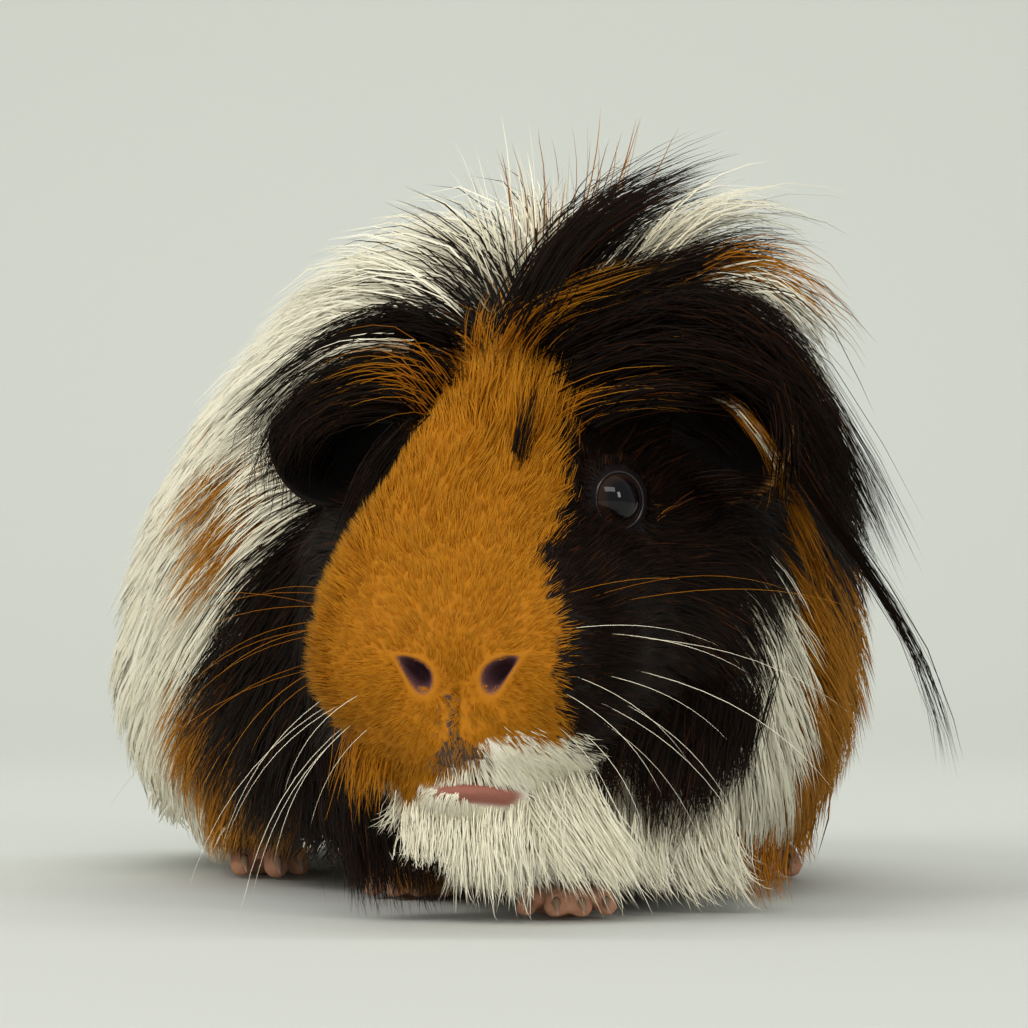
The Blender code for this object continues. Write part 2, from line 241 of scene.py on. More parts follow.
# %% Sections of the skin
# Distance behind the nose, half width, top, height of the widest place, bottom.
TRUNK = (
    (40, 15, 34, 24, 14), (52, 26, 62, 36, 10), (62, 31, 80, 44, 9), (72, 35, 88, 48, 9),
    (84, 39, 92, 48, 9), (98, 43, 93, 47, 9), (114, 46, 93, 46, 9), (134, 49, 92, 44, 9),
    (158, 50, 89, 42, 9), (182, 47, 84, 40, 9), (204, 41, 74, 38, 9), (222, 32, 60, 36, 11),
    (234, 20, 47, 33, 17), (240, 9, 38, 31, 24),
)
SKULL = (
    (1.6, 7.4, 41, 34, 26), (4.8, 11.8, 46, 36, 21), (10.5, 14.4, 51.3, 38, 17.5),
    (18, 13.9, 57.8, 42, 16), (28, 12.6, 65.8, 51, 18), (38, 12.2, 73.8, 57, 22),
    (50, 17, 81, 60, 26), (62, 23, 85, 60, 28), (75, 28, 86, 58, 30),
)
CHEEKS = (
    (3.5, 10.8, 42.5, 36, 27), (8, 17.6, 49.4, 37.5, 21.5), (14, 20.0, 54, 39.5, 18),
    (24, 21.2, 58, 41, 14), (34, 23.2, 61.5, 41, 11), (45, 28, 67.5, 45, 11),
    (56, 32.5, 72.5, 48, 11), (68, 33, 75, 50, 12),
)
HEAD_BALLS = (  # sides, side, back, height, radii
    ((-1, 1), 9.7, 13.6, 37.2, (11.6, 11.6, 13.0)),
    ((1,), 0, 15.2, 20, (10.2, 10.8, 7.4)),
    ((1,), 0, 44, 26, (20, 19, 16)),
)
# A ridge from the muzzle up to the brow: (side, back, height), and the radius at each.
BROW = ((-13.5, 17, 43.5), (-11.2, 21.5, 49), (-7.6, 27, 56), (-6.4, 32, 63), (-4.6, 38, 68.5))
BROW_RADII = (7.6, 8.4, 9.0, 8.0, 5.0)
HAUNCH = (176, 33, 36, (19, 30, 27))  # back, across, height, radii
TRUNK_FULLNESS = 4.0
HEAD_FULLNESS = 2.5
OVAL_POINTS = 48


def smooth_rows(rows, between=4):
    """The rows with a Catmull-Rom curve's points put between them."""
    rows = [np.array(row, float) for row in rows]
    ends = [2 * rows[0] - rows[1], *rows, 2 * rows[-1] - rows[-2]]
    made = []
    for a, b, c, d in zip(ends, ends[1:], ends[2:], ends[3:]):
        for k in range(between):
            t = k / between
            bend = (2 * a - 5 * b + 4 * c - d) * t * t + (3 * b - a - 3 * c + d) * t**3
            made.append(0.5 * (2 * b + (c - a) * t + bend))
    return np.array([*made, rows[-1]])


def loft(name, rows, place, fullness):
    """A closed skin over oval sections. place turns (across, back, height) into points."""
    rows = smooth_rows(rows)
    turn = 2 * np.pi * np.arange(OVAL_POINTS) / OVAL_POINTS
    c, s = np.cos(turn), np.sin(turn)
    power = np.where(s >= 0, 1.0, 2 / fullness)
    back, half, top, girth, bottom = (rows[:, k : k + 1] for k in range(5))
    across = half * np.sign(c) * np.abs(c) ** power
    height = girth + np.where(s >= 0, top - girth, girth - bottom) * np.sign(s) * np.abs(s) ** power
    rings = place(across, back + 0 * across, height)
    count = len(rows)
    points = [*rings.reshape(-1, 3), rings[0].mean(0), rings[-1].mean(0)]
    size, faces = OVAL_POINTS, []
    for j in range(size):
        k = (j + 1) % size
        for start in range(0, (count - 1) * size, size):
            faces.append((start + j, start + k, start + size + k, start + size + j))
        faces.append((k, j, count * size))
        faces.append(((count - 1) * size + j, (count - 1) * size + k, count * size + 1))
    return new_mesh(name, points, faces)


def ball(centre, radii, turn=0.0):
    """A ball stretched to three radii, added and placed with operators."""
    bpy.ops.mesh.primitive_uv_sphere_add(segments=28, ring_count=14, radius=MM, location=Vector(centre) * MM)
    obj = bpy.context.object
    obj.scale = radii
    obj.rotation_euler = (0, 0, turn)
    return obj


def limb(points, radii, steps=5):
    """A chain of balls close enough to melt into one limb."""
    made = []
    for (a, b), (ra, rb) in zip(zip(points, points[1:]), zip(radii, radii[1:])):
        for k in range(steps + 1):
            t = k / steps
            made.append(ball(np.asarray(a) + (np.asarray(b) - a) * t, [ra + (rb - ra) * t] * 3))
    return made


parts = [
    loft("trunk_form", TRUNK, on_body, TRUNK_FULLNESS),
    loft("skull_form", SKULL, on_head, HEAD_FULLNESS),
    loft("cheek_form", CHEEKS, on_head, HEAD_FULLNESS),
]
for ways, side, back, height, radii in HEAD_BALLS:
    parts += [ball(on_head(way * side, back, height), radii, HEAD_TURN) for way in ways]
parts += limb([on_head(*map(float, row)) for row in BROW], BROW_RADII)
EYEBALL = 5.0  # radius
LID_HEIGHT = 5.8  # from the eye's middle
LID_SPARE = 0.35  # how much larger the ball under the lids is
EYES_OUT, EYES_DOWN = 1.0, 0.9  # from the middle of each eye's solid
EYES = {}
for way, solid_middle in ((1, eye_left), (-1, eye_right)):
    EYES[way] = solid_middle + EYES_OUT * way * SIDE - EYES_DOWN * UP
parts += [ball(eye, (LID_HEIGHT + LID_SPARE,) * 3) for eye in EYES.values()]
for way in (-1, 1):
    back, across, height, radii = HAUNCH
    parts.append(ball(on_body(np.array(way * across), np.array(float(back)), np.array(float(height))), radii))
print(len(parts), "forms for the body")

# %% [markdown]
# ## Feet
#
# A guinea pig has four toes on a forefoot and three on a hind foot, which is long and flat like a
# rabbit's. The toes are chains of balls from the knuckle to the tip, set on a padded sole, so
# that the remesh melts them into the same skin as the body.

# %% The feet's forms
FEET = {  # heading in degrees, length, width, toes, ankle relative to the middle toe's tip
    "foreleg_left": (4, 23.0, 14.5, 4, (3, 29)),
    "foreleg_right": (-6, 23.0, 14.5, 4, (0, 26)),
    "hindfoot_left": (2, 42.0, 14.0, 3, (-10, 44)),
    "hindfoot_right": (12, 42.0, 14.0, 3, (-7, 44)),
}
ANKLE_HEIGHT = 18.0
CLAW_LENGTH = 4.0
NEARLY_STRAIGHT = 10.0  # degrees; a foot turned less points at the middle of its solid's front
TURNED_TIP = 8.5  # a foot turned more points this far in from its solid's left side
claw_places = []


def foot(name, heading, length, width, toes, ankle):
    """The balls of one foot: toes, sole and ankle. It notes where each claw will stand."""
    low, high = box_mm(name)
    turn = math.radians(heading)
    ahead = np.array([math.sin(turn), -math.cos(turn), 0])
    across_way = np.array([math.cos(turn), math.sin(turn), 0])
    tip_x = (low[0] + high[0]) / 2 if abs(heading) < NEARLY_STRAIGHT else high[0] - TURNED_TIP
    tip = np.array([tip_x, low[1], 0])

    def at(across, back, height):
        return tip + across_way * across - ahead * back + UP * height

    made = []
    spread = width / toes
    radius = spread * 0.50
    for k in range(toes):
        across = (k - (toes - 1) / 2) * spread
        late = 0.16 * length * abs(2 * k / (toes - 1) - 1) ** 1.5 + CLAW_LENGTH * 0.5
        knuckle = at(across * 0.74, late + length * 0.36, radius * 2.1)
        bend = at(across * 0.95, late + length * 0.17, radius * 1.75)
        pad = at(across * 1.04, late + radius * 1.5, radius * 0.98)
        made += limb((knuckle, bend, pad), (radius * 0.95, radius * 0.86, radius * 0.94), steps=4)
        claw_places.append((at(across, late + radius * 0.9, radius * 1.25), ahead, radius))
    made.append(ball(at(0, length * 0.60, 2.4), (width * 0.38, length * 0.26, 2.5), turn))
    made.append(ball(at(0, length * 0.78, 3.4), (width * 0.32, length * 0.2, 3.4), turn))
    top = tip + np.array([ankle[0], ankle[1], ANKLE_HEIGHT])
    made += limb((at(0, length * 0.74, 5.0), top), (width * 0.3, width * 0.46))
    return made


for name, (heading, length, width, toes, ankle) in FEET.items():
    parts += foot(name, heading, length, width, toes, ankle)
print(len(claw_places), "toes")

# %% [markdown]
# ## Melting the forms together
#
# The voxels are three quarters of a millimetre, fine enough for a toe. The decimation after it
# keeps the face and the feet as they are, and takes from the body, where the coat hides the skin.

# %% One skin
VOXEL = 0.75


def apply_modifiers(obj):
    bpy.ops.object.select_all(action="DESELECT")
    obj.select_set(True)
    bpy.context.view_layer.objects.active = obj
    for modifier in list(obj.modifiers):
        bpy.ops.object.modifier_apply(modifier=modifier.name)
    return obj


def joined(objects, name):
    bpy.ops.object.select_all(action="DESELECT")
    for obj in objects:
        obj.select_set(True)
    bpy.context.view_layer.objects.active = objects[0]
    bpy.ops.object.join()
    obj = bpy.context.object
    bpy.ops.object.transform_apply(location=True, rotation=True, scale=True)
    obj.name = obj.data.name = name
    return obj


def points_of(mesh):
    """The mesh's points in millimetres."""
    flat = np.empty(len(mesh.vertices) * 3, np.float32)
    mesh.vertices.foreach_get("co", flat)
    return flat.reshape(-1, 3).astype(float) / MM


def normals_of(mesh):
    flat = np.empty(len(mesh.vertices) * 3, np.float32)
    mesh.vertex_normals.foreach_get("vector", flat)
    return flat.reshape(-1, 3).astype(float)


def set_points(mesh, points):
    mesh.vertices.foreach_set("co", (points * MM).astype(np.float32).reshape(-1))
    mesh.update()


def step(value, start, end):
    """0 before start, 1 after end, smooth between them."""
    t = np.clip((np.asarray(value, float) - start) / (end - start), 0, 1)
    return t * t * (3 - 2 * t)


skin = joined(parts, "skin")
remesh = skin.modifiers.new("Melt", "REMESH")
remesh.mode = "VOXEL"
remesh.voxel_size = VOXEL * MM
soften = skin.modifiers.new("Soften", "SMOOTH")
soften.factor, soften.iterations = 0.5, 5
apply_modifiers(skin)
print(len(skin.data.polygons), "faces after the remesh")

# %% Fewer faces where the coat is deep
THIN_OUT = 0.30
DEPTH_LEVELS = 10

_, head_back, head_height = head_frame(points_of(skin.data))
ankle_low = step(head_height, 14, 9)
deep = step(head_back, 38, 62) * (1 - ankle_low)
group = skin.vertex_groups.new(name="deep_coat")
for level in range(DEPTH_LEVELS + 1):
    chosen = np.flatnonzero(np.round(deep * DEPTH_LEVELS) == level)
    group.add([int(i) for i in chosen], level / DEPTH_LEVELS, "REPLACE")
thin = skin.modifiers.new("Thin", "DECIMATE")
thin.ratio = THIN_OUT
thin.vertex_group = "deep_coat"
apply_modifiers(skin)
skin.vertex_groups.clear()
print(len(skin.data.polygons), "faces after thinning")

# %% [markdown]
# ## The face
#
# The nose, lips and lids are what an eye goes to first. A sculptor would crease them into the
# clay with a tool. Here the same is done with numbers: the faces there are divided once more, and
# each point is pushed along the head's axis by a few smooth dents and swellings.

# %% Finer faces where the nose, the mouth and the eyes will be
def divide_where(obj, test):
    """Divides the faces whose middle passes the test."""
    bpy.ops.object.select_all(action="DESELECT")
    obj.select_set(True)
    bpy.context.view_layer.objects.active = obj
    mesh = obj.data
    middles = np.empty(len(mesh.polygons) * 3, np.float32)
    mesh.polygons.foreach_get("center", middles)
    chosen = test(middles.reshape(-1, 3).astype(float) / MM)
    mesh.vertices.foreach_set("select", np.zeros(len(mesh.vertices), bool))
    mesh.edges.foreach_set("select", np.zeros(len(mesh.edges), bool))
    mesh.polygons.foreach_set("select", chosen)
    bpy.ops.object.mode_set(mode="EDIT")
    bpy.ops.mesh.select_mode(type="FACE")
    bpy.ops.mesh.subdivide(number_cuts=1, smoothness=0)
    bpy.ops.object.mode_set(mode="OBJECT")


LIDS_REACH = 7.6  # the finer faces round an eye's middle


def near_muzzle(points):
    side, back, height = head_frame(points)
    return (np.abs(side) < 12.5) & (back < 9.5) & (height > 13) & (height < 41)


def near_eyes(points):
    return np.min([np.linalg.norm(points - eye, axis=1) for eye in EYES.values()], axis=0) < LIDS_REACH


divide_where(skin, near_muzzle)
divide_where(skin, near_eyes)
triangles = sum(len(p.vertices) - 2 for p in skin.data.polygons)
print(triangles, "triangles in the skin")

# %% Nostrils, lips and chin
NOSTRIL = (5.7, 34.9)  # side, height
NOSTRIL_HALF = (2.9, 1.4)  # length, width
NOSTRIL_SLOPE = math.radians(46)
NOSTRIL_DEPTH = 3.0
MOUTH_HALF = 8.2
MOUTH_SIDE = 3.2  # a chewing mouth, caught a little to its left


def mouth_height(side):
    """The height at which the lips meet."""
    return 20.2 - 0.10 * (side - MOUTH_SIDE) - 0.016 * (side - MOUTH_SIDE) ** 2


def bump(value, width):
    """1 at zero, falling off smoothly over about this width."""
    return np.exp(-((value / width) ** 2))


def nostril_field(side, height):
    """0 in the middle of the nearer nostril and 1 at its rim."""
    away, up = np.abs(side) - NOSTRIL[0], height - NOSTRIL[1]
    along = away * math.cos(NOSTRIL_SLOPE) + up * math.sin(NOSTRIL_SLOPE)
    across = -away * math.sin(NOSTRIL_SLOPE) + up * math.cos(NOSTRIL_SLOPE)
    half = NOSTRIL_HALF[1] * (1 - 0.13 * along)
    return np.sqrt((along / NOSTRIL_HALF[0]) ** 2 + ((across + 0.06 * along**2) / half) ** 2)


points = points_of(skin.data)
side, back, height = head_frame(points)
front = step(back, 14, 8)
field = nostril_field(side, height)
push = NOSTRIL_DEPTH * step(field, 1.05, 0.45)
push -= 0.55 * bump(field - 1.35, 0.35)
push += 0.9 * bump(side + 0.3, 0.45) * step(height, 20.0, 22.5) * step(height, 33.5, 31.0)
push += 0.5 * bump(side, 2.4) * step(height, 27, 32) * step(height, 39, 34)
push -= 0.7 * bump(np.abs(side) - 3.2, 2.6) * bump(height - 23.6, 2.6)
lips = step(np.abs(side - MOUTH_SIDE), MOUTH_HALF + 1.5, MOUTH_HALF - 2.5)
push += 2.6 * bump(height - mouth_height(side), 0.7) * lips
push -= 0.8 * bump(height - mouth_height(side) + 2.1, 1.3) * lips
points += np.multiply.outer(push * front, BACK)
set_points(skin.data, points)
print("deepest dent", (push * front).max().round(1), "mm")

# %% Lids, pulled round each eye
# The way each eye looks, not quite the same for both.
GAZE = {1: 0.70 * SIDE - 0.71 * BACK + 0.02 * UP, -1: -0.86 * SIDE - 0.50 * BACK + 0.02 * UP}
LID_OPENING = math.radians(52)  # from the line of sight to the lids' edge
SOCKET = 4.2


def unit(vectors):
    return vectors / np.maximum(np.linalg.norm(vectors, axis=-1, keepdims=True), 1e-9)


points = points_of(skin.data)
for way, eye in EYES.items():
    away = points - eye
    reach = np.linalg.norm(away, axis=1)
    facing = np.arccos(np.clip(unit(away) @ unit(GAZE[way]), -1, 1))
    lid = LID_HEIGHT - 0.35 * bump(facing - LID_OPENING, 0.12)
    wanted = SOCKET + (lid - SOCKET) * step(facing, LID_OPENING - 0.12, LID_OPENING)
    fold = 0.45 * bump(facing - LID_OPENING - 0.38, 0.09) * (reach < 9)
    new_reach = np.where((facing < LID_OPENING + 0.1) & (reach < 9), wanted, reach - fold)
    points += unit(away) * (new_reach - reach)[:, None]
set_points(skin.data, points)
soften = skin.modifiers.new("Soften", "SMOOTH")
soften.factor, soften.iterations = 0.4, 1
apply_modifiers(skin)
skin.data.shade_smooth()
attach(skin, "root")
COATED = ["head", "neck", "crest", "trunk", "rump", "thigh_left", "thigh_right"]
FLESH = [*COATED, *FEET]
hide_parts(*FLESH)
print("the skin stands for", len(FLESH), "solids")

# %% [markdown]
# ## Eyes
#
# A guinea pig's eye is a shiny bead: a very dark brown iris with hardly any white, under a clear
# wet cornea. A ball with many faces gives clean reflections. Its colour depends only on the angle
# from the line of sight, so that angle is kept in an attribute and a ramp turns it into pupil,
# iris and rim. A dark, moist rim lines the lids.

# %% Eyeballs
def hand(way):
    return "left" if way > 0 else "right"


def put_attribute(mesh, name, values):
    """Stores one colour per point. values has three columns."""
    colours = np.ones((len(mesh.vertices), 4), np.float32)
    colours[:, :3] = values
    mesh.attributes.new(name, "FLOAT_COLOR", "POINT").data.foreach_set("color", colours.reshape(-1))


def ramp_node(material, stops, interpolation="LINEAR"):
    """A colour ramp with these (place, colour) stops."""
    node = material.node_tree.nodes.new("ShaderNodeValToRGB")
    node.color_ramp.interpolation = interpolation
    while len(node.color_ramp.elements) < len(stops):
        node.color_ramp.elements.new(0.5)
    for element, (place, colour) in zip(node.color_ramp.elements, stops):
        element.position = place
        element.color = (*colour, 1)
    return node


def attribute_parts(material, name):
    """A Separate Color node that splits an attribute into its three numbers."""
    nodes, links = material.node_tree.nodes, material.node_tree.links
    read = nodes.new("ShaderNodeAttribute")
    read.attribute_name = name
    split = nodes.new("ShaderNodeSeparateColor")
    links.new(read.outputs["Color"], split.inputs["Color"])
    return split


eye_material = new_material("wet_eye", (0.01, 0.008, 0.008), 0.02, 0.28)
split = attribute_parts(eye_material, "gaze")
iris = ramp_node(eye_material, [
    (0.0, (0.002, 0.002, 0.003)), (0.34, (0.003, 0.002, 0.003)), (0.42, (0.012, 0.006, 0.004)),
    (0.54, (0.020, 0.009, 0.005)), (0.62, (0.005, 0.003, 0.003)), (0.80, (0.003, 0.003, 0.003)),
])
eye_material.node_tree.links.new(split.outputs["Red"], iris.inputs["Fac"])
eye_material.node_tree.links.new(iris.outputs["Color"], shader_of(eye_material).inputs["Base Color"])

rim_material = new_material("moist_rim", (0.014, 0.008, 0.008), 0.22, 0.5)
CORNEA_REACH = math.radians(50)  # from the line of sight
CORNEA_HEIGHT = 0.2  # how far it stands out
RIM_RADIUS = 0.20

for way, eye in EYES.items():
    name = "eye_" + hand(way)
    bpy.ops.mesh.primitive_uv_sphere_add(segments=64, ring_count=40, radius=EYEBALL * MM)
    ball_object = bpy.context.object
    aim = Vector(GAZE[way]).to_track_quat("Z", "Y").to_matrix().to_4x4()
    ball_object.data.transform(Matrix.Translation(Vector(eye) * MM) @ aim)
    points = points_of(ball_object.data)
    away = unit(points - eye)
    angle = np.arccos(np.clip(away @ unit(GAZE[way]), -1, 1))
    points += away * (CORNEA_HEIGHT * step(angle, CORNEA_REACH, 0))[:, None]
    set_points(ball_object.data, points)
    put_attribute(ball_object.data, "gaze", np.repeat(angle[:, None] / (math.pi / 2), 3, axis=1))
    ball_object.data.shade_smooth()
    ball_object.data.materials.append(eye_material)
    ball_object.name = ball_object.data.name = "eyeball_" + hand(way)
    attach(ball_object, "root")
    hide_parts(name)

    across = math.sin(LID_OPENING) * (EYEBALL + 0.15)
    bpy.ops.mesh.primitive_torus_add(
        major_radius=(across + 0.05) * MM, minor_radius=RIM_RADIUS * MM, major_segments=72, minor_segments=12
    )
    rim = bpy.context.object
    place = Vector(eye + unit(GAZE[way]) * math.cos(LID_OPENING) * (EYEBALL + 0.25)) * MM
    rim.data.transform(Matrix.Translation(place) @ aim)
    rim.data.shade_smooth()
    rim.data.materials.append(rim_material)
    rim.name = rim.data.name = "lid_rim_" + hand(way)
    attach(rim, "root")
print("two eyes,", EYEBALL * 2, "mm across")

# %% [markdown]
# ## Ears
#
# The ear is a thin petal that stands out from the side of the head and folds forward at its top.
# Its skin is almost bare and dark. The golden light that shines through its thin rim is painted
# into its colour as painted light, weaker on the right ear as painted shade. It is made as a dish
# with many rings, whose rim is ruffled by sines and then given a wall.

# %% Ears
EAR_PLACE = (31.5, 59.0, 69.0)  # side, back, height of the dish's middle
EAR_REACH = 9.6
EAR_HALF_WIDTH = 10.2
EAR_WALL = 0.9


def ear(way):
    """A ruffled dish with a wall, leaning out from the side of the head."""
    name = "ear_" + hand(way)
    rings, count = 14, 60
    turn = 2 * np.pi * np.arange(count) / count
    reach = (np.arange(1, rings + 1) / rings)[:, None]
    notch = 1 - 0.30 * bump(np.angle(np.exp(1j * (turn + 2.1))), 0.45) * reach**3
    ruffle = 0.30 * np.sin(5 * turn + 1) * reach**4
    out = EAR_REACH * reach * np.cos(turn) * notch
    wide = EAR_HALF_WIDTH * reach * np.sin(turn) * notch
    cup = 5.0 * reach**2 - 1.5 * reach * np.cos(turn) + ruffle
    cup = cup - 2.4 * step(np.sin(turn), 0.35, 1.0) * step(reach, 0.55, 1.0)
    grid = np.stack([out, -cup + 0 * out, wide], -1).reshape(-1, 3)
    points = np.vstack([[[0.0, 0.0, 0.0]], grid])
    faces = [(0, 1 + i, 1 + (i + 1) % count) for i in range(count)]
    for ring in range(rings - 1):
        for i in range(count):
            j = (i + 1) % count
            a = 1 + ring * count
            faces.append((a + i, a + count + i, a + count + j, a + j))
    lean = Matrix.Rotation(math.radians(20), 3, "Y") @ Matrix.Rotation(math.radians(-18), 3, "Z")
    turned = (points @ np.array(lean).T) * [way, 1, 1]
    side, back, height = EAR_PLACE
    local = turned @ np.stack([SIDE, BACK, UP])
    obj = new_mesh("pinna_" + hand(way), on_head(way * side, back, height) + local, faces)
    rim = np.concatenate([[0.0], np.repeat(reach[:, 0], count)])
    # Painted light: where the ear reaches out, its rim is painted golden as light shining through it; on the
    # right ear only at 0.45, as painted shade
    lit = step(points[:, 0], -1.0, 5.0) * (1.0 if way > 0 else 0.45)
    put_attribute(obj.data, "rim", np.stack([rim * (0.5 + 0.5 * lit), lit, 0 * rim], 1))
    bm = bmesh.new()
    bm.from_mesh(obj.data)
    bmesh.ops.recalc_face_normals(bm, faces=bm.faces)
    bm.to_mesh(obj.data)
    bm.free()
    wall = obj.modifiers.new("Wall", "SOLIDIFY")
    wall.thickness, wall.offset = EAR_WALL * MM, 0
    round_rim = obj.modifiers.new("Round", "SUBSURF")
    round_rim.levels = round_rim.render_levels = 1
    apply_modifiers(obj)
    obj.data.shade_smooth()
    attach(obj, "root")
    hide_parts(name)
    return obj


ears = {way: ear(way) for way in (1, -1)}
print([len(obj.data.polygons) for obj in ears.values()], "faces in the ears")

# %% Ear skin: dark inside, painted golden brown towards the rim as painted light shining through it, with a fine grain
def fine_bump(material, scale, strength, distance):
    """Small unevenness on Object coordinates, which needs no unwrap."""
    nodes, links = material.node_tree.nodes, material.node_tree.links
    where = nodes.new("ShaderNodeTexCoord")
    grain = nodes.new("ShaderNodeTexNoise")
    grain.inputs["Scale"].default_value = scale
    grain.inputs["Detail"].default_value = 5
    raise_it = nodes.new("ShaderNodeBump")
    raise_it.inputs["Strength"].default_value = strength
    raise_it.inputs["Distance"].default_value = distance
    links.new(where.outputs["Object"], grain.inputs["Vector"])
    links.new(grain.outputs["Fac"], raise_it.inputs["Height"])
    links.new(raise_it.outputs["Normal"], shader_of(material).inputs["Normal"])


ear_material = new_material("ear_skin", (0.05, 0.03, 0.03), 0.7, 0.1)
split = attribute_parts(ear_material, "rim")
ear_ramp = ramp_node(ear_material, [
    (0.0, (0.002, 0.0015, 0.0015)), (0.70, (0.004, 0.003, 0.0025)), (0.86, (0.030, 0.012, 0.004)),
    (1.0, (0.26, 0.12, 0.03)),
])
ear_material.node_tree.links.new(split.outputs["Red"], ear_ramp.inputs["Fac"])
ear_material.node_tree.links.new(ear_ramp.outputs["Color"], shader_of(ear_material).inputs["Base Color"])
fine_bump(ear_material, 900, 0.5, 0.0003)
for obj in ears.values():
    obj.data.materials.append(ear_material)
print(len(ear_ramp.color_ramp.elements), "tones from the ear's middle to its rim")

# %% [markdown]
# ## Claws
#
# Each toe ends in a curved, pointed claw. A ring of eight points is swept along an arc and drawn
# to a point, which takes only a few dozen faces a claw.

# %% Claws
CLAW_RINGS = 6
CLAW_SIDES = 8
CLAW_OVER_FLOOR = 0.05
claws = []
for place, ahead, radius in claw_places:
    rings = []
    for k in range(CLAW_RINGS):
        t = k / CLAW_RINGS
        turn = 2 * np.pi * np.arange(CLAW_SIDES) / CLAW_SIDES
        size = radius * 0.42 * (1 - t) ** 0.8 + 0.08
        centre = place + ahead * (CLAW_LENGTH * 0.85 * t) + UP * (0.25 - radius * 0.95 * t**1.8)
        sideways = np.cross(ahead, UP)
        ring = centre + np.multiply.outer(np.cos(turn) * size * 0.8, sideways)
        rings.append(ring + np.multiply.outer(np.sin(turn) * size, UP))
    tip = place + ahead * CLAW_LENGTH * 0.85 + UP * (0.25 - radius * 0.95)
    root = place - ahead * 0.3
    points = np.vstack([*rings, [tip], [root]])
    points[:, 2] = np.maximum(points[:, 2], CLAW_OVER_FLOOR)
    last = (CLAW_RINGS - 1) * CLAW_SIDES  # where the last ring's points start
    faces = []
    for i in range(CLAW_SIDES):
        j = (i + 1) % CLAW_SIDES
        for start in range(0, last, CLAW_SIDES):
            faces.append((start + i, start + j, start + CLAW_SIDES + j, start + CLAW_SIDES + i))
        faces.append((last + i, last + j, last + CLAW_SIDES))
        faces.append((j, i, last + CLAW_SIDES + 1))
    claws.append(new_mesh("claw", points, faces))
claw_piece = joined(claws, "claws")
bpy.ops.object.mode_set(mode="EDIT")
bpy.ops.mesh.select_all(action="SELECT")
bpy.ops.mesh.normals_make_consistent(inside=False)
bpy.ops.object.mode_set(mode="OBJECT")
claw_piece.data.shade_smooth()
claw_material = new_material("claw_horn", (0.32, 0.20, 0.13), 0.35)
fine_bump(claw_material, 1500, 0.3, 0.0002)
claw_piece.data.materials.append(claw_material)
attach(claw_piece, "root")
print(len(claw_places), "claws,", len(claw_piece.data.polygons), "faces")

# %% [markdown]
# ## Markings
#
# The animal is a tricolour: a ginger blaze over the muzzle and between the eyes, a black mask on
# both sides of it, a white chin and collar, and a cream body with brown flanks. The borders are
# lines on the head, given by a few points each, and wander a little as real ones do. One
# function answers for skin and coat, so that both always agree.

# %% Markings of skin and coat
GINGER, BLACK, CREAM, BROWN, SMOKE = range(5)
COLOURS = ("ginger", "black", "cream", "brown", "smoke")
# A border is two rows of numbers: where along it, and how far it reaches there.
BLAZE_LEFT = (
    (20, 26, 31, 39, 44, 50, 56, 63, 74, 80, 84),
    (12.5, 12.5, 13.2, 13.2, 11.8, 9.4, 10.2, 9.6, 4.6, 0.2, -4.5),
)
BLAZE_RIGHT = ((58, 62, 67, 79, 84), (-18.5, -17, -15.7, -10.7, -4.5))
MUZZLE_RIGHT = ((12, 28, 36, 45, 52, 62), (16, 17, 20, 27, 33, 39))
CHIN_LINE = (
    (-24, -15.8, -9.4, -2.7, 3.2, 5.9, 13.5, 17.8, 20, 22.3, 26),
    (9, 13, 17.5, 20.7, 24.9, 26.2, 25.5, 22.6, 18, 11.8, 8),
)
CHEEK_LEFT = ((6, 13, 22, 31, 39, 45, 51.5, 60, 70, 80), (38, 42, 47, 50, 51.5, 54, 61, 74, 82, 84))
COLLAR_LEFT = ((5, 15, 27, 39.5, 52, 58), (80, 74, 67, 62, 62, 62))
MASK_RIGHT = ((5, 15, 30, 46, 56, 64, 72, 80), (72, 77, 81, 83, 79, 66, 58, 56))
BIB_RIGHT = ((3, 5.8, 11.5, 15.7, 20), (-7, -9, -12, -14, -20))


def line(rule, value):
    return np.interp(value, *rule)


def wander(points, size):
    """A slow, smooth unevenness between about -1 and 1, the same at the same place."""
    x, y, z = (points / size).T
    return (np.sin(1.7 * x + 2.3 * z + 1) + np.sin(2.9 * y - 1.3 * x + 2) + np.sin(2.1 * z + 1.9 * y + 4)) / 3


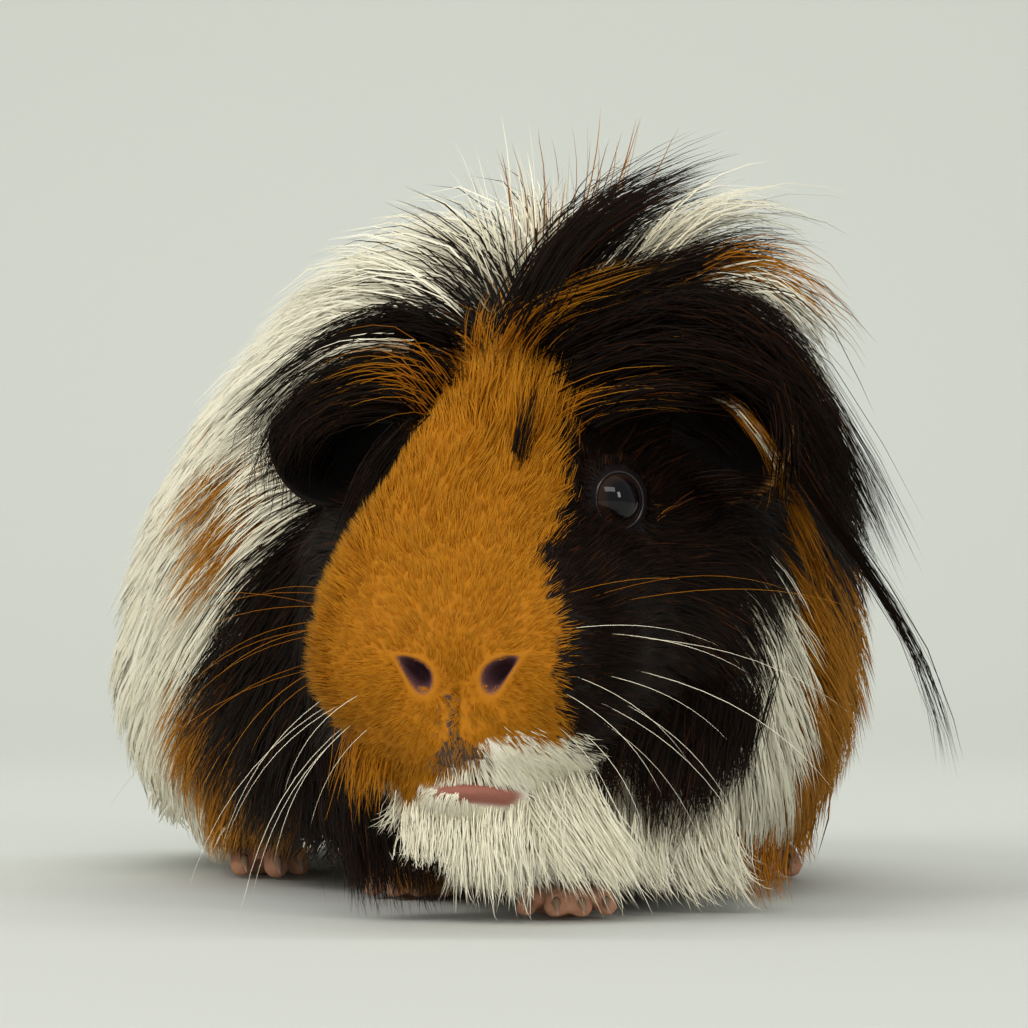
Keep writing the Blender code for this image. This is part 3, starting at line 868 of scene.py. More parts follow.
def markings(points):
    """The colour's number for each point."""
    points = points + 1.3 * wander(points, 5.0)[:, None] + 0.6 * wander(points, 1.7)[:, None]
    side, back, height = head_frame(points)
    across, behind, _ = body_frame(points)
    found = np.full(len(points), CREAM)

    def paint(where, colour):
        found[where] = colour

    left = side > 0
    paint((across > 5) & (behind > 60) & (behind < 168) & (height < 80 - 0.15 * np.abs(behind - 120)), BROWN)
    paint((across < -20) & (behind > 70) & (behind < 116) & (height < 44), BROWN)
    paint((across < -30) & (behind > 84) & (behind < 100) & (height > 62) & (height < 76), BROWN)
    paint((behind > 176) & (behind < 222) & (across > -16) & (height > 46), BLACK)
    shoulder = (across > 14 - 0.05 * (behind - 60)) & (behind > 60) & (behind < 122)
    paint(shoulder & (height > 58 + 0.14 * (behind - 60)), BLACK)
    paint(left & (back < line(COLLAR_LEFT, height)) & (height < 58) & (behind < 92), CREAM)
    front = back < 100
    paint(front & left & (back < line(CHEEK_LEFT, height)), BLACK)
    paint(front & ~left & (back < line(MASK_RIGHT, height)), BLACK)
    top = (height > 70) & (back > 44) & front
    paint(top & (side > -7) & (side < 12) & (back < 70), BLACK)
    paint(top & (side >= 12) & (back > 67) & (back < 71), BROWN)
    paint(top & (side >= 12) & (back >= 71) & (back < 77), BLACK)
    paint(top & (side >= 12) & (side < 20) & (back >= 77) & (back < 90), CREAM)
    low = (height < 20) & (back > 12) & (back < 60)
    paint(low & (side > line(BIB_RIGHT, height)) & (side < 35), CREAM)
    paint((side < -12) & (height < 14) & (back > 20) & (back < 84), BROWN)
    face = back < 50
    paint(face & (height < line(CHIN_LINE, side)) & (side > line(BIB_RIGHT, height)), CREAM)
    muzzle = (side > -14) | (back < line(MUZZLE_RIGHT, height))
    right_edge = np.where(height > 58, side > line(BLAZE_RIGHT, height), muzzle)
    blaze = face & (side < line(BLAZE_LEFT, height)) & right_edge & (height > line(CHIN_LINE, side))
    paint(blaze & (back < 49) & ((height > 21) | (back < 15)), GINGER)
    lip_pads = (np.abs(side + 0.2) < 3.7) & (height < 26.6 - 0.9 * np.abs(side))
    lip_pads &= height > 21.6 + 0.35 * np.maximum(side, 0)
    # The groove from the nose down to the lip is painted smoke as painted shade in its crease; the lip pads
    # are smoke in their own colour.
    groove = (np.abs(side + 0.3) < 0.6) & (height > 22) & (height < 33)
    paint((back < 8) & (lip_pads | groove), SMOKE)
    return found


# %% Skin colour: the markings, darkened, with bare flesh on the nose, lips, lids and feet, and painted shade in the nostrils, the seam of the lips and the groove under the nose
HIDE = np.array([  # the skin under each colour, in the colours' order
    (0.36, 0.13, 0.005), (0.010, 0.007, 0.006), (0.74, 0.70, 0.60), (0.17, 0.06, 0.008), (0.07, 0.042, 0.030),
])
# The darkest tone is painted shade: deep in the nostrils, in the seam of the lips and in the groove under the
# nose.
FLESH_TONES = {
    "nose": (0.085, 0.038, 0.044), "painted_pit_shade": (0.022, 0.008, 0.011), "lip": (0.26, 0.10, 0.072),
    "foot": (0.46, 0.235, 0.145), "lid": (0.005, 0.003, 0.003),
}

points = points_of(skin.data)
side, back, height = head_frame(points)
tone = HIDE[markings(points)]


def blend_in(tone, name, share):
    return tone + (np.array(FLESH_TONES[name]) - tone) * share[:, None]


front = step(back, 10, 7)
field = nostril_field(side, height)
tone = blend_in(tone, "nose", step(field, 1.25, 0.95) * front)
# painted shade deep in each nostril
tone = blend_in(tone, "painted_pit_shade", step(field, 0.9, 0.3) * front)
lip_line = height - mouth_height(side)
lips = step(np.abs(side - MOUTH_SIDE), MOUTH_HALF + 1, MOUTH_HALF - 2) * front
tone = blend_in(tone, "lip", step(np.abs(lip_line + 1.4), 2.9, 1.6) * lips)
# painted shade in the seam where the lips meet
tone = blend_in(tone, "painted_pit_shade", step(np.abs(lip_line), 0.9, 0.3) * lips * 0.8)
# painted shade in the groove from the nose down to the lip
groove = bump(side + 0.3, 0.35) * step(height, 20, 22) * step(height, 33, 31) * front
tone = blend_in(tone, "painted_pit_shade", groove * 0.8)
for eye in EYES.values():
    reach = np.linalg.norm(points - eye, axis=1)
    tone = blend_in(tone, "lid", step(reach, 7.5, 6.3))
tone = blend_in(tone, "foot", step(height, 13, 9))
put_attribute(skin.data, "hide", tone)

skin_material = new_material("skin", (0.4, 0.3, 0.25), 0.6, 0.1)
read = skin_material.node_tree.nodes.new("ShaderNodeAttribute")
read.attribute_name = "hide"
skin_material.node_tree.links.new(read.outputs["Color"], shader_of(skin_material).inputs["Base Color"])
fine_bump(skin_material, 1400, 0.5, 0.0003)
skin.data.materials.clear()
skin.data.materials.append(skin_material)
print("skin tone on average", tone.mean(axis=0).round(3))

# %% [markdown]
# ## How far is the skin?
#
# Hair must lie on the skin, not run through it. Asking for the nearest skin for every bend of
# every hair would take minutes, so the distance is measured once on a grid of points around the
# body. After that it costs a few sums to know how high any point lies, and which way is out.

# %% A grid of distances
CELL = 2.5
ROOM = 34.0  # round the skin
REACH = 45.0  # further than the deepest coat

bpy.context.view_layer.update()
skin_tree = BVHTree.FromObject(skin, bpy.context.evaluated_depsgraph_get())
coat_points, coat_faces = [], []
for node in COATED:
    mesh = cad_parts[node].data
    start = len(coat_points)
    coat_points += [v.co.copy() for v in mesh.vertices]
    coat_faces += [[start + i for i in p.vertices] for p in mesh.polygons]
solids_tree = BVHTree.FromPolygons(coat_points, coat_faces)


def coat_depth(point, normal):
    """How far the solids reach over this point of the skin, looking back at it from outside."""
    hit = solids_tree.ray_cast(point + normal * REACH * MM, -normal, REACH * MM)
    return REACH - hit[3] / MM if hit[0] else 0.0


skin.data.update()
depths = np.array([coat_depth(p.center, p.normal) for p in skin.data.polygons])
print("coat depth, median and most:", np.median(depths).round(1), depths.max().round(1), "mm")
grid_low = points.min(0) - ROOM
grid_size = np.ceil((points.max(0) + ROOM - grid_low) / CELL).astype(int) + 1
grid_axes = [grid_low[k] + CELL * np.arange(grid_size[k]) for k in range(3)]
distance = np.empty(grid_size, np.float32)
beyond = np.empty(grid_size, np.float32)  # how far outside the solids
depth_there = np.empty(grid_size, np.float32)
for i, x in enumerate(grid_axes[0]):
    for j, y in enumerate(grid_axes[1]):
        for k, z in enumerate(grid_axes[2]):
            where = Vector((x, y, z)) * MM
            near, normal, face, far = skin_tree.find_nearest(where)
            distance[i, j, k] = far if (where - near).dot(normal) > 0 else -far
            depth_there[i, j, k] = depths[face]
            near, normal, face, far = solids_tree.find_nearest(where)
            beyond[i, j, k] = far if (where - near).dot(normal) > 0 else -far
distance /= MM
beyond /= MM
for _ in range(3):
    for axis in range(3):
        depth_there = (np.roll(depth_there, 1, axis) + depth_there + np.roll(depth_there, -1, axis)) / 3
field_grid = np.stack([distance, *np.gradient(distance, CELL), depth_there, beyond], -1)
print("distances on a grid of", grid_size)


def height_over_skin(points):
    """(distance from the skin, the way out, the coat's depth, distance outside the solids)."""
    place = (points - grid_low) / CELL
    cell = np.clip(np.floor(place).astype(int), 0, grid_size - 2)
    t = np.clip(place - cell, 0, 1)
    total = 0
    for corner in np.ndindex(2, 2, 2):
        weight = np.prod(np.where(corner, t, 1 - t), axis=1)
        at = cell + corner
        total = total + weight[:, None] * field_grid[at[:, 0], at[:, 1], at[:, 2]]
    return total[:, 0], unit(total[:, 1:4]), total[:, 4], total[:, 5]


# %% [markdown]
# ## The lie of the coat
#
# On a guinea pig the hair starts at the nose and runs back over the head like water round a
# stone. At the forehead of this one it turns up into a tall fan, parts, and falls in arcs over
# both ears. On the body it parts along the spine and hangs back and down. Three fields describe
# that: the direction at a place, the length there, and how steeply the hair leaves the skin.

# %% Direction
FAN_SIDE = -3.0  # the parting, on the head


def lie_of_coat(points, normals):
    """Unit directions along the skin in which the hair runs."""
    side, back, height = head_frame(points)
    across, behind, _ = body_frame(points)
    head = step(back, 84, 56)
    crown = step(back, 33, 48) * step(height, 62, 76)
    away = unit(points - on_head(-0.3, -9.0, 31.5))
    cheek = step(back, 14, 36) * step(height, 60, 44)
    throat = step(height, 24, 15) * step(back, 1, 12)
    hangs = step(back, 42, 58) * step(height, 72, 54)
    on_top = np.clip((side - FAN_SIDE) / 9, -1, 1)
    fan = np.multiply.outer(on_top * 1.15, SIDE) + 0.30 * BACK + 0.45 * UP
    flow = away - np.multiply.outer(0.55 * cheek + 1.3 * throat + 1.1 * hangs, UP)
    flow = flow + (fan - flow) * (crown * 0.85)[:, None]
    for way, eye in EYES.items():
        from_eye = points - eye
        ring = bump(np.linalg.norm(from_eye, axis=1) - LID_HEIGHT, 3.0)
        axis = unit(GAZE[way])
        from_axis = unit(from_eye - np.multiply.outer(from_eye @ axis, axis))
        flow = flow + 1.4 * ring[:, None] * from_axis
    parted = np.clip(across / 14, -1, 1)
    _, turn = spine(behind)
    tail = unit(np.stack([-turn, np.ones_like(turn), 0 * turn], -1))
    outward = np.stack([np.ones_like(turn), turn, 0 * turn], -1)
    flank = step(np.abs(across), 20, 42)
    body = tail * 0.75 + outward * (parted * 0.55)[:, None] - np.multiply.outer(0.35 + 0.35 * flank, UP)
    flow = body + (flow - body) * head[:, None]
    flow = flow - normals * np.sum(flow * normals, axis=1)[:, None]
    return unit(flow)


# %% How long the hair is, and how steeply it stands
def muzzle_edge(side, back, height):
    """1 on the flanks of the muzzle, where the short hair turns longer and stands off."""
    flank = step(np.abs(side), 11, 18) * step(back, 4, 10) * step(back, 34, 24)
    return flank * step(height, 23, 36) * step(height, 64, 54)


def blaze_top(side, back, height):
    """1 at the top of the blaze, where the short hair runs out into the long."""
    return step(height, 60, 73) * step(back, 22, 34) * step(back, 56, 44) * step(np.abs(side + 2), 14, 9)


def coat_length(points):
    """The length of the hair at points."""
    side, back, height = head_frame(points)
    _, behind, _ = body_frame(points)
    crown = step(back, 34, 56) * step(height, 66, 80)
    length = 1.9 + 0.125 * np.maximum(back, 0)
    length += 5 * step(back, 30, 58) + 24 * crown
    chin = 5 * step(height, 21, 15) * step(back, 1, 12) + 5 * step(height, 16.5, 12.5) * step(back, 16, 8)
    length += chin + 7 * step(height, 22, 12) * step(back, 12, 32)
    length += 8 * step(back, 44, 62) * step(height, 60, 40)
    length += 3.2 * muzzle_edge(side, back, height) + 8 * blaze_top(side, back, height)
    nape = step(height, 70, 84) * step(behind, 128, 96)
    body = 33 + 14 * nape - 19 * step(height, 24, 10)
    head = step(back, 82, 60)
    length = body + (length - body) * head
    at_nose = np.clip((nostril_field(side, height) - 0.85) / 1.0, 0.5, 1)
    length *= np.where(back < 12, at_nose, 1)
    for eye in EYES.values():
        length *= 0.4 + 0.6 * step(np.linalg.norm(points - eye, axis=1), 5.2, 10)
    return np.where(height < 14, np.minimum(length, 4 + 0.9 * height), length)


def coat_lift(points):
    """The angle in degrees at which hair leaves the skin."""
    side, back, height = head_frame(points)
    _, behind, _ = body_frame(points)
    crown = step(back, 38, 56) * step(height, 68, 80)
    nape = step(height, 68, 84) * step(behind, 122, 98)
    lift = 15 + 7 * step(back, 2, 14) + 26 * crown + 40 * step(height, 17, 13) * step(back, 2, 8)
    lift += 36 * muzzle_edge(side, back, height) + 10 * blaze_top(side, back, height)
    body = 16 + 36 * nape
    head = step(back, 82, 58)
    return body + (lift - body) * head


print("hair on the crown", coat_length(on_head(0, [60], [90])).round(1), "mm long")


# %% Roots, spread over the skin as thickly as each place needs
random = np.random.default_rng(8)


def skin_triangles(obj):
    mesh = obj.data
    mesh.calc_loop_triangles()
    corners = np.empty(len(mesh.loop_triangles) * 3, np.int32)
    mesh.loop_triangles.foreach_get("vertices", corners)
    return corners.reshape(-1, 3)


triangle_corners = skin_triangles(skin)
skin_points, skin_normals = points_of(skin.data), normals_of(skin.data)
a, b, c = (skin_points[triangle_corners[:, k]] for k in range(3))
triangle_middles = (a + b + c) / 3
triangle_areas = np.linalg.norm(np.cross(b - a, c - a), axis=1) / 2
print("skin of", round(triangle_areas.sum() / 100), "square centimetres")


def is_bare(points):
    """True where no hair grows: nostrils, lips, eyes, soles."""
    side, back, height = head_frame(points)
    nose = (nostril_field(side, height) < 0.98) & (back < 9)
    below = mouth_height(side) - height
    lip = (below > -0.4) & (below < 3.5 - 0.12 * (side - MOUTH_SIDE - 0.6) ** 2) & (back < 9)
    bare = nose | lip | (height < 8.0)
    for way, eye in EYES.items():
        away = points - eye
        facing = np.arccos(np.clip(unit(away) @ unit(GAZE[way]), -1, 1))
        bare |= (np.linalg.norm(away, axis=1) < 7.5) & (facing < LID_OPENING)
    return bare


def spread_roots(count, thickness):
    """count roots: (points, normals). thickness weighs each place."""
    weights = triangle_areas * thickness(triangle_middles)
    chosen = random.choice(len(weights), count, p=weights / weights.sum())
    u, v = random.random((2, count))
    flip = u + v > 1
    u, v = np.where(flip, 1 - u, u), np.where(flip, 1 - v, v)
    share = np.stack([1 - u - v, u, v], 1)[:, :, None]
    corners = triangle_corners[chosen]
    roots = (skin_points[corners] * share).sum(1)
    normals = unit((skin_normals[corners] * share).sum(1))
    kept = ~is_bare(roots)
    return roots[kept], normals[kept]


# %% [markdown]
# ## Growing hair
#
# Each hair starts at its root and takes a few steps. At each one it turns a little towards the
# lie of the coat and towards the floor, and if it comes too close to the skin it is lifted. Then
# neighbours are drawn together towards their tips, because real hair hangs in locks.

# %% Grow
STIFF = 0.45  # how much of its heading a hair keeps at each step
FALL = 0.10  # how much it turns down


def grow(roots, normals, lengths, lifts, steps, messy):
    """Paths of hairs, as an array of (steps + 1) x hairs x 3."""
    flow = lie_of_coat(roots, normals)
    swirl = np.cross(normals, flow)
    side, back, height = head_frame(roots)
    neat = 1 - 0.6 * step(height, 24, 18) * step(back, 60, 30)
    uneven = random.normal(size=len(roots)) + 1.5 * wander(roots, 4.0) + 1.5 * wander(roots, 13.0)
    turn = messy * neat * uneven
    flow = unit(flow + swirl * turn[:, None])
    lift = np.radians(lifts) * np.exp(0.30 * random.normal(size=len(roots)))
    heading = unit(flow * np.cos(lift)[:, None] + normals * np.sin(lift)[:, None])
    layer = random.uniform(0.35, 1.02, len(roots)) + 0.25 * (random.random(len(roots)) < 0.02)
    astray = 2.5 * random.random(len(roots)) ** 8
    across, behind, _ = body_frame(roots)
    flank = 2.6 * step(across, 22, 36) * step(behind, 74, 88) * step(behind, 150, 126)
    astray += flank * step(height, 64, 52)
    full = 0.92 * step(coat_length(roots), 14, 26)
    short = step(coat_length(roots), 16, 10)
    loose = 1.5 * muzzle_edge(side, back, height) + 2.0 * blaze_top(side, back, height)
    place = roots - normals * 0.25
    path, outs = [place], [normals]
    stride = (lengths / steps)[:, None]
    for k in range(1, steps + 1):
        t = k / steps
        if k > 1:
            flow = lie_of_coat(place, out)
            flow = unit(flow + np.cross(out, flow) * turn[:, None])
            rise = lift * (1 - t)
            want = unit(flow * np.cos(rise)[:, None] + out * np.sin(rise)[:, None])
            heading = unit(heading * STIFF + want * (1 - STIFF) - UP * (FALL * t))
        place = place + heading * stride
        high, out, deep, past = height_over_skin(place)
        lowest = np.minimum(0.25 + 0.08 * lengths * t, 1.6)
        lowest = np.maximum(lowest, full * deep * layer * min(1.0, 2.2 * t))
        place = place + out * np.maximum(lowest - high, 0)[:, None]
        ceiling = deep * layer * 1.1 + 0.8 + 0.02 * lengths - high + loose
        ceiling = np.minimum(ceiling, 0.5 + astray - past + 9 * short)
        place = place + out * (np.minimum(ceiling, 0) * 0.8)[:, None]
        heading = unit(place - path[-1])
        place[:, 2] = np.maximum(place[:, 2], 0.4 + 0.3 * random.random(len(place)))
        path.append(place)
        outs.append(out)
    path = np.array(path)
    for _ in range(3):
        path[1:-1] = (path[:-2] + 2 * path[1:-1] + path[2:]) / 4
    return path, np.array(outs)


# %% Gather
def gather(path, spacing, strength):
    """Draws hairs together in locks about this far apart. Also gives each hair its lock's number."""
    roots = path[0]
    count = max(1, int(len(roots) / spacing))
    leaders = random.choice(len(roots), count, replace=False)
    tree = KDTree(count)
    for i, leader in enumerate(leaders):
        tree.insert(roots[leader], i)
    tree.balance()
    nearest = np.array([tree.find(root)[1] for root in roots])
    led = path[:, leaders[nearest]]
    steps = len(path) - 1
    pull = strength * random.uniform(0.6, 1.0, len(roots))
    share = (np.arange(steps + 1) / steps)[:, None] ** 1.2 * pull
    return path + (led - path) * share[:, :, None], nearest


# %% [markdown]
# ## Hairs as solids
#
# A tuft here is a closed spike with three sides that tapers to a point. Three sides are the
# fewest that look round under smooth shading, so a coat of many thousand hairs stays light. Each
# spike carries three numbers for its colour: how far along it a point is, a number of its own,
# and one of its lock. Its place in the unwrap is a small patch at its root's place. The middle of
# a hair never sinks below a quarter of a millimetre, so that the coat lies on the floor.

# %% Spikes
PATCH = 0.003  # the size of a hair's patch in the unwrap
HAIR_OVER_FLOOR = 0.25
ROUNDED = 0.55  # how much of a hair's own roundness its shading shows
ROUNDED_CREAM = 0.3


def unwrap(points, on_the_head):
    """Places on a flat map: a disc around the nose for the head, a sleeve for the body."""
    if on_the_head:
        side, back, height = head_frame(points)
        away = unit(np.stack([side, back - 45, height - 45], 1))
        polar = np.arccos(np.clip(-away[:, 1], -1, 1)) / np.pi
        spot = np.arctan2(away[:, 2], away[:, 0])
        flat = np.stack([polar * np.cos(spot), polar * np.sin(spot)], 1)
    else:
        across, behind, height = body_frame(points)
        flat = np.stack([np.arctan2(across, height - 42), behind / 60], 1)
    low, high = flat.min(0), flat.max(0)
    return 0.01 + 0.98 * (flat - low) / np.maximum(high - low, 1e-6)


def spikes(name, path, outs, widths, locks, on_the_head, flat=0.6, rounded=ROUNDED):
    """One closed mesh of tapered spikes along the paths. Each has its ridge on the outer side."""
    rings, count = len(path) - 1, path.shape[1]
    path = np.dstack([path[..., :2], np.maximum(path[..., 2], HAIR_OVER_FLOOR)])
    along = unit(np.gradient(path, axis=0))
    first = unit(np.cross(outs + 0.4 * random.normal(size=(count, 3)), along))
    second = np.cross(along, first)
    t = np.arange(rings) / rings
    taper = widths * (1 - 0.8 * t[:, None] ** 1.6) / 2
    turn = np.pi / 2 + 2 * np.pi * np.arange(3) / 3
    points = np.empty((count, 3 * rings + 1, 3))
    facing = np.empty_like(points)
    for k in range(rings):
        for i in range(3):
            out = first[k] * math.cos(turn[i]) + second[k] * (math.sin(turn[i]) * flat)
            points[:, 3 * k + i] = path[k] + out * taper[k][:, None]
            facing[:, 3 * k + i] = unit(outs[k] * 0.8 + unit(out) * rounded)
    points[:, -1] = path[-1]
    facing[:, -1] = outs[-1]
    faces = []
    for k in range(rings - 1):
        for i in range(3):
            j = (i + 1) % 3
            a, b, c, d = 3 * k + i, 3 * k + j, 3 * k + 3 + j, 3 * k + 3 + i
            faces += [(a, b, c), (a, c, d)]
    faces += [(3 * rings - 3 + i, 3 * rings - 3 + (i + 1) % 3, 3 * rings) for i in range(3)]
    faces.append((0, 2, 1))
    faces = np.array(faces)
    size = 3 * rings + 1
    triangles = (faces[None] + size * np.arange(count)[:, None, None]).reshape(-1, 3)
    mesh = bpy.data.meshes.new(name)
    mesh.vertices.add(count * size)
    mesh.vertices.foreach_set("co", (points * MM).astype(np.float32).reshape(-1))
    mesh.loops.add(len(triangles) * 3)
    mesh.loops.foreach_set("vertex_index", triangles.astype(np.int32).reshape(-1))
    mesh.polygons.add(len(triangles))
    mesh.polygons.foreach_set("loop_start", np.arange(0, len(triangles) * 3, 3, dtype=np.int32))
    mesh.update(calc_edges=True)
    mesh.shade_smooth()
    soft = mesh.attributes.new("custom_normal", "FLOAT_VECTOR", "POINT")
    soft.data.foreach_set("vector", facing.astype(np.float32).reshape(-1))
    length = np.append(np.repeat(t, 3), 1.0)
    own = random.random(count)
    lock_tone = np.random.default_rng(3).random(locks.max() + 1)[locks]
    strand = np.stack(np.broadcast_arrays(length[None], own[:, None], lock_tone[:, None]), -1)
    put_attribute(mesh, "strand", strand.reshape(-1, 3))
    spot = unwrap(path[0], on_the_head)
    ring_side = np.append(np.tile([0.0, 0.5, 1.0], rings), 0.5)
    patch = np.stack([ring_side - 0.5, length - 0.5], 1) * PATCH
    flat_map = (spot[:, None] + patch[None]).reshape(-1, 2)
    layer = mesh.uv_layers.new(name="OFBake")
    layer.data.foreach_set("uv", flat_map[triangles.reshape(-1)].astype(np.float32).reshape(-1))
    obj = bpy.data.objects.new(name, mesh)
    scene.collection.objects.link(obj)
    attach(obj, "root")
    return obj


# %% [markdown]
# ## Fur colours
#
# Each hair is painted darker at the root, as painted shade where little light comes into the coat,
# and paler and warmer at the tip. No two hairs match, and whole locks differ. Each fur is therefore
# a ramp along the hair, multiplied by a ramp over the hair's own number and one over its lock's.

# %% Fur materials
def fur(name, along, own, lock, roughness, specular):
    """along, own and lock are ramps of colours over the hair, its own number and its lock's."""
    material = new_material(name, along[-1][1], roughness, specular)
    links = material.node_tree.links
    split = attribute_parts(material, "strand")
    colour = None
    for stops, number in ((along, "Red"), (own, "Green"), (lock, "Blue")):
        ramp = ramp_node(material, stops)
        links.new(split.outputs[number], ramp.inputs["Fac"])
        if colour is None:
            colour = ramp.outputs["Color"]
            continue
        mix = material.node_tree.nodes.new("ShaderNodeMix")
        mix.data_type, mix.blend_type = "RGBA", "MULTIPLY"
        mix.inputs["Factor"].default_value = 1.0
        links.new(colour, mix.inputs["A"])
        links.new(ramp.outputs["Color"], mix.inputs["B"])
        colour = mix.outputs["Result"]
    links.new(colour, shader_of(material).inputs["Base Color"])
    return material


GREY = [(0.0, (0.80,) * 3), (1.0, (1.0,) * 3)]
# Each ramp along the hair is darker at the root: painted shade deep in the coat.
FURS = {
    "ginger": fur(
        "ginger_fur",
        [(0, (0.23, 0.070, 0.002)), (0.45, (0.36, 0.121, 0.003)), (1, (0.49, 0.210, 0.016))],
        [(0, (0.76, 0.70, 0.66)), (0.5, (0.97, 0.97, 0.97)), (1, (1.08, 1.14, 1.3))],
        GREY, 0.7, 0.06,
    ),
    "black": fur(
        "black_fur",
        [(0, (0.004, 0.0022, 0.0016)), (0.6, (0.007, 0.0042, 0.003)), (1, (0.014, 0.008, 0.0055))],
        # A few black hairs are painted brown, up to nine times brighter: painted highlights that stand for
        # the brownish sheen of black hair.
        [(0, (0.7, 0.7, 0.7)), (0.84, (1.2, 1.2, 1.2)), (0.94, (2.6, 1.8, 1.3)), (1, (9.0, 4.6, 1.8))],
        GREY, 0.42, 0.07,
    ),
    "cream": fur(
        "cream_fur",
        [(0, (0.73, 0.675, 0.51)), (0.4, (0.83, 0.79, 0.62)), (1, (0.865, 0.83, 0.67))],
        [(0, (0.90, 0.88, 0.84)), (0.6, (1, 1, 1)), (1, (1, 1, 1))],
        [(0, (0.93, 0.91, 0.87)), (0.5, (1, 1, 1)), (1, (1, 1, 1))],
        0.7, 0.12,
    ),
    "brown": fur(
        "brown_fur",
        [(0, (0.20, 0.065, 0.004)), (0.5, (0.36, 0.13, 0.008)), (1, (0.50, 0.22, 0.028))],
        [(0, (0.72, 0.66, 0.6)), (0.6, (1, 1, 1)), (1, (1.15, 1.2, 1.3))],
        GREY, 0.7, 0.06,
    ),
    "smoke": fur(
        "smoke_fur",
        [(0, (0.065, 0.040, 0.026)), (0.5, (0.135, 0.085, 0.055)), (1, (0.26, 0.17, 0.105))],
        [(0, (0.7, 0.7, 0.7)), (0.7, (1, 1, 1)), (1, (1.5, 1.2, 0.9))],
        GREY, 0.7, 0.06,
    ),
}
shader_of(FURS["black"]).inputs["Specular Tint"].default_value = (1.0, 0.82, 0.66, 1)
print(len(FURS), "furs")

# %% [markdown]
# ## Three kinds of hair
#
# The face has short, dense, fine hair; the forehead, cheeks, throat and shoulders have longer
# hair; and the body has long locks. Each kind is grown with its own number of bends, because a
# short hair needs only two and a long one four.

# %% Where each kind grows
def face_share(points):
    """1 on the short-haired face."""
    _, back, height = head_frame(points)
    crown = step(back, 36, 44) * step(height, 66, 74)
    return step(back, 52, 42) * (1 - crown) * step(height, 4, 9)


def mane_share(points):
    """1 where the hair is long and close to the face: forehead, nape, cheeks, throat, chest."""
    _, back, height = head_frame(points)
    return (1 - face_share(points)) * step(back, 118, 88) * step(height, 1, 5)


def body_share(points):
    """1 on the body, behind the mane."""
    _, back, height = head_frame(points)
    return step(back, 84, 104) * step(height, 1, 6)


def fine_near_nose(points):
    """The face's share, with more hairs where they are finest."""
    _, back, height = head_frame(points)
    white = step(height, 26, 18) * step(back, 30, 16)
    return face_share(points) * (1 + 2.2 * step(back, 24, 2) + 0.8 * white)


# Roots, where, bends, hairs in a lock, how strongly gathered, width at back 0 and 60, how
# unruly, and how far the borders of the markings are blurred.
KINDS = {
    "face": (41500, fine_near_nose, 2, 12, 0.58, (0.16, 0.36), 0.14, 0.6),
    "mane": (22700, mane_share, 4, 14, 0.62, (0.24, 0.33), 0.08, 1.2),
    "body": (13600, body_share, 4, 8, 0.60, (0.55, 0.75), 0.08, 2.5),
}
MOST = 190000  # triangles in one piece
GINGER_IN_SMOKE = 0.30
made = {}
for kind, (count, where, bends, in_lock, strength, widths, messy, blur) in KINDS.items():
    roots, normals = spread_roots(count, where)
    side, back, height = head_frame(roots)
    lengths = coat_length(roots) * np.exp(0.16 * random.normal(size=len(roots)))
    path, outs = grow(roots, normals, lengths, coat_lift(roots), bends, messy)
    path, locks = gather(path, in_lock, strength)
    colour = markings(roots + random.normal(size=roots.shape) * blur)
    colour = np.where((colour == SMOKE) & (random.random(len(roots)) < GINGER_IN_SMOKE), GINGER, colour)
    width = widths[0] + (widths[1] - widths[0]) * step(back, 0, 60)
    width = width * np.exp(0.2 * random.normal(size=len(roots))) * np.where(colour == CREAM, 1.3, 1.0)
    per_hair = 6 * bends - 2  # triangles
    for number, word in enumerate(COLOURS):
        chosen = np.flatnonzero(colour == number)
        if not len(chosen):
            continue
        order = chosen[np.argsort(back[chosen])]
        for part, some in enumerate(np.array_split(order, -(-len(order) * per_hair // MOST))):
            name = f"coat_{kind}_{word}" + (f"_{part + 1}" if len(order) * per_hair > MOST else "")
            rounded = ROUNDED_CREAM if word == "cream" else ROUNDED
            hairs = (path[:, some], outs[:, some], width[some], locks[some])
            piece = spikes(name, *hairs, kind == "face", rounded=rounded)
            piece.data.materials.append(FURS[word])
            made[name] = len(piece.data.polygons)
print(made, sum(made.values()), "triangles of hair")

# %% [markdown]
# ## The long lock
#
# One lock has slipped from behind the ear and swings out past the shoulder. Its solid is a tube.
# Here a line is drawn along the middle of that tube, and bundles of single hairs follow it:
# wide apart at the top, where it leaves the coat, and thinning to a few hairs at the end.

# %% Bundles of hair, and the lock
HAIRS_IN_TUFT = 12
LOCK_HAIR = 0.2  # width


def bundle(line_points, count, spread, reach, width, bends, seed, rooted=0.16, deep=0.6):
    """Hairs that follow a line. spread is how far they stand off it at the start and the end.

    They start over the first part of the line, up to rooted, and run on for a share of it, reach.
    deep stretches the spread from front to back.
    """
    draw = np.random.default_rng(seed)
    line_points = np.asarray(line_points, float)
    gone = np.append(0, np.cumsum(np.linalg.norm(np.diff(line_points, axis=0), axis=1)))
    start = draw.uniform(0, rooted, count)
    end = np.minimum(start + draw.uniform(*reach, count), 1.06)
    off = draw.normal(size=(count, 3))
    off[:, 1] *= deep
    drift = draw.normal(size=(count, 3)) * 0.5
    path = []
    for k in range(bends + 1):
        t = start + (end - start) * k / bends
        spot = np.stack([np.interp(t * gone[-1], gone, line_points[:, axis]) for axis in range(3)], 1)
        wide = spread[0] + (spread[1] - spread[0]) * t
        path.append(spot + off * wide[:, None] * 0.5 + drift * (t**2 * 2.2)[:, None])
    path = np.array(path)
    outs = unit(path - path.mean(axis=1, keepdims=True) - 0.3 * BACK)
    return path, outs, width * np.exp(0.2 * draw.normal(size=count))


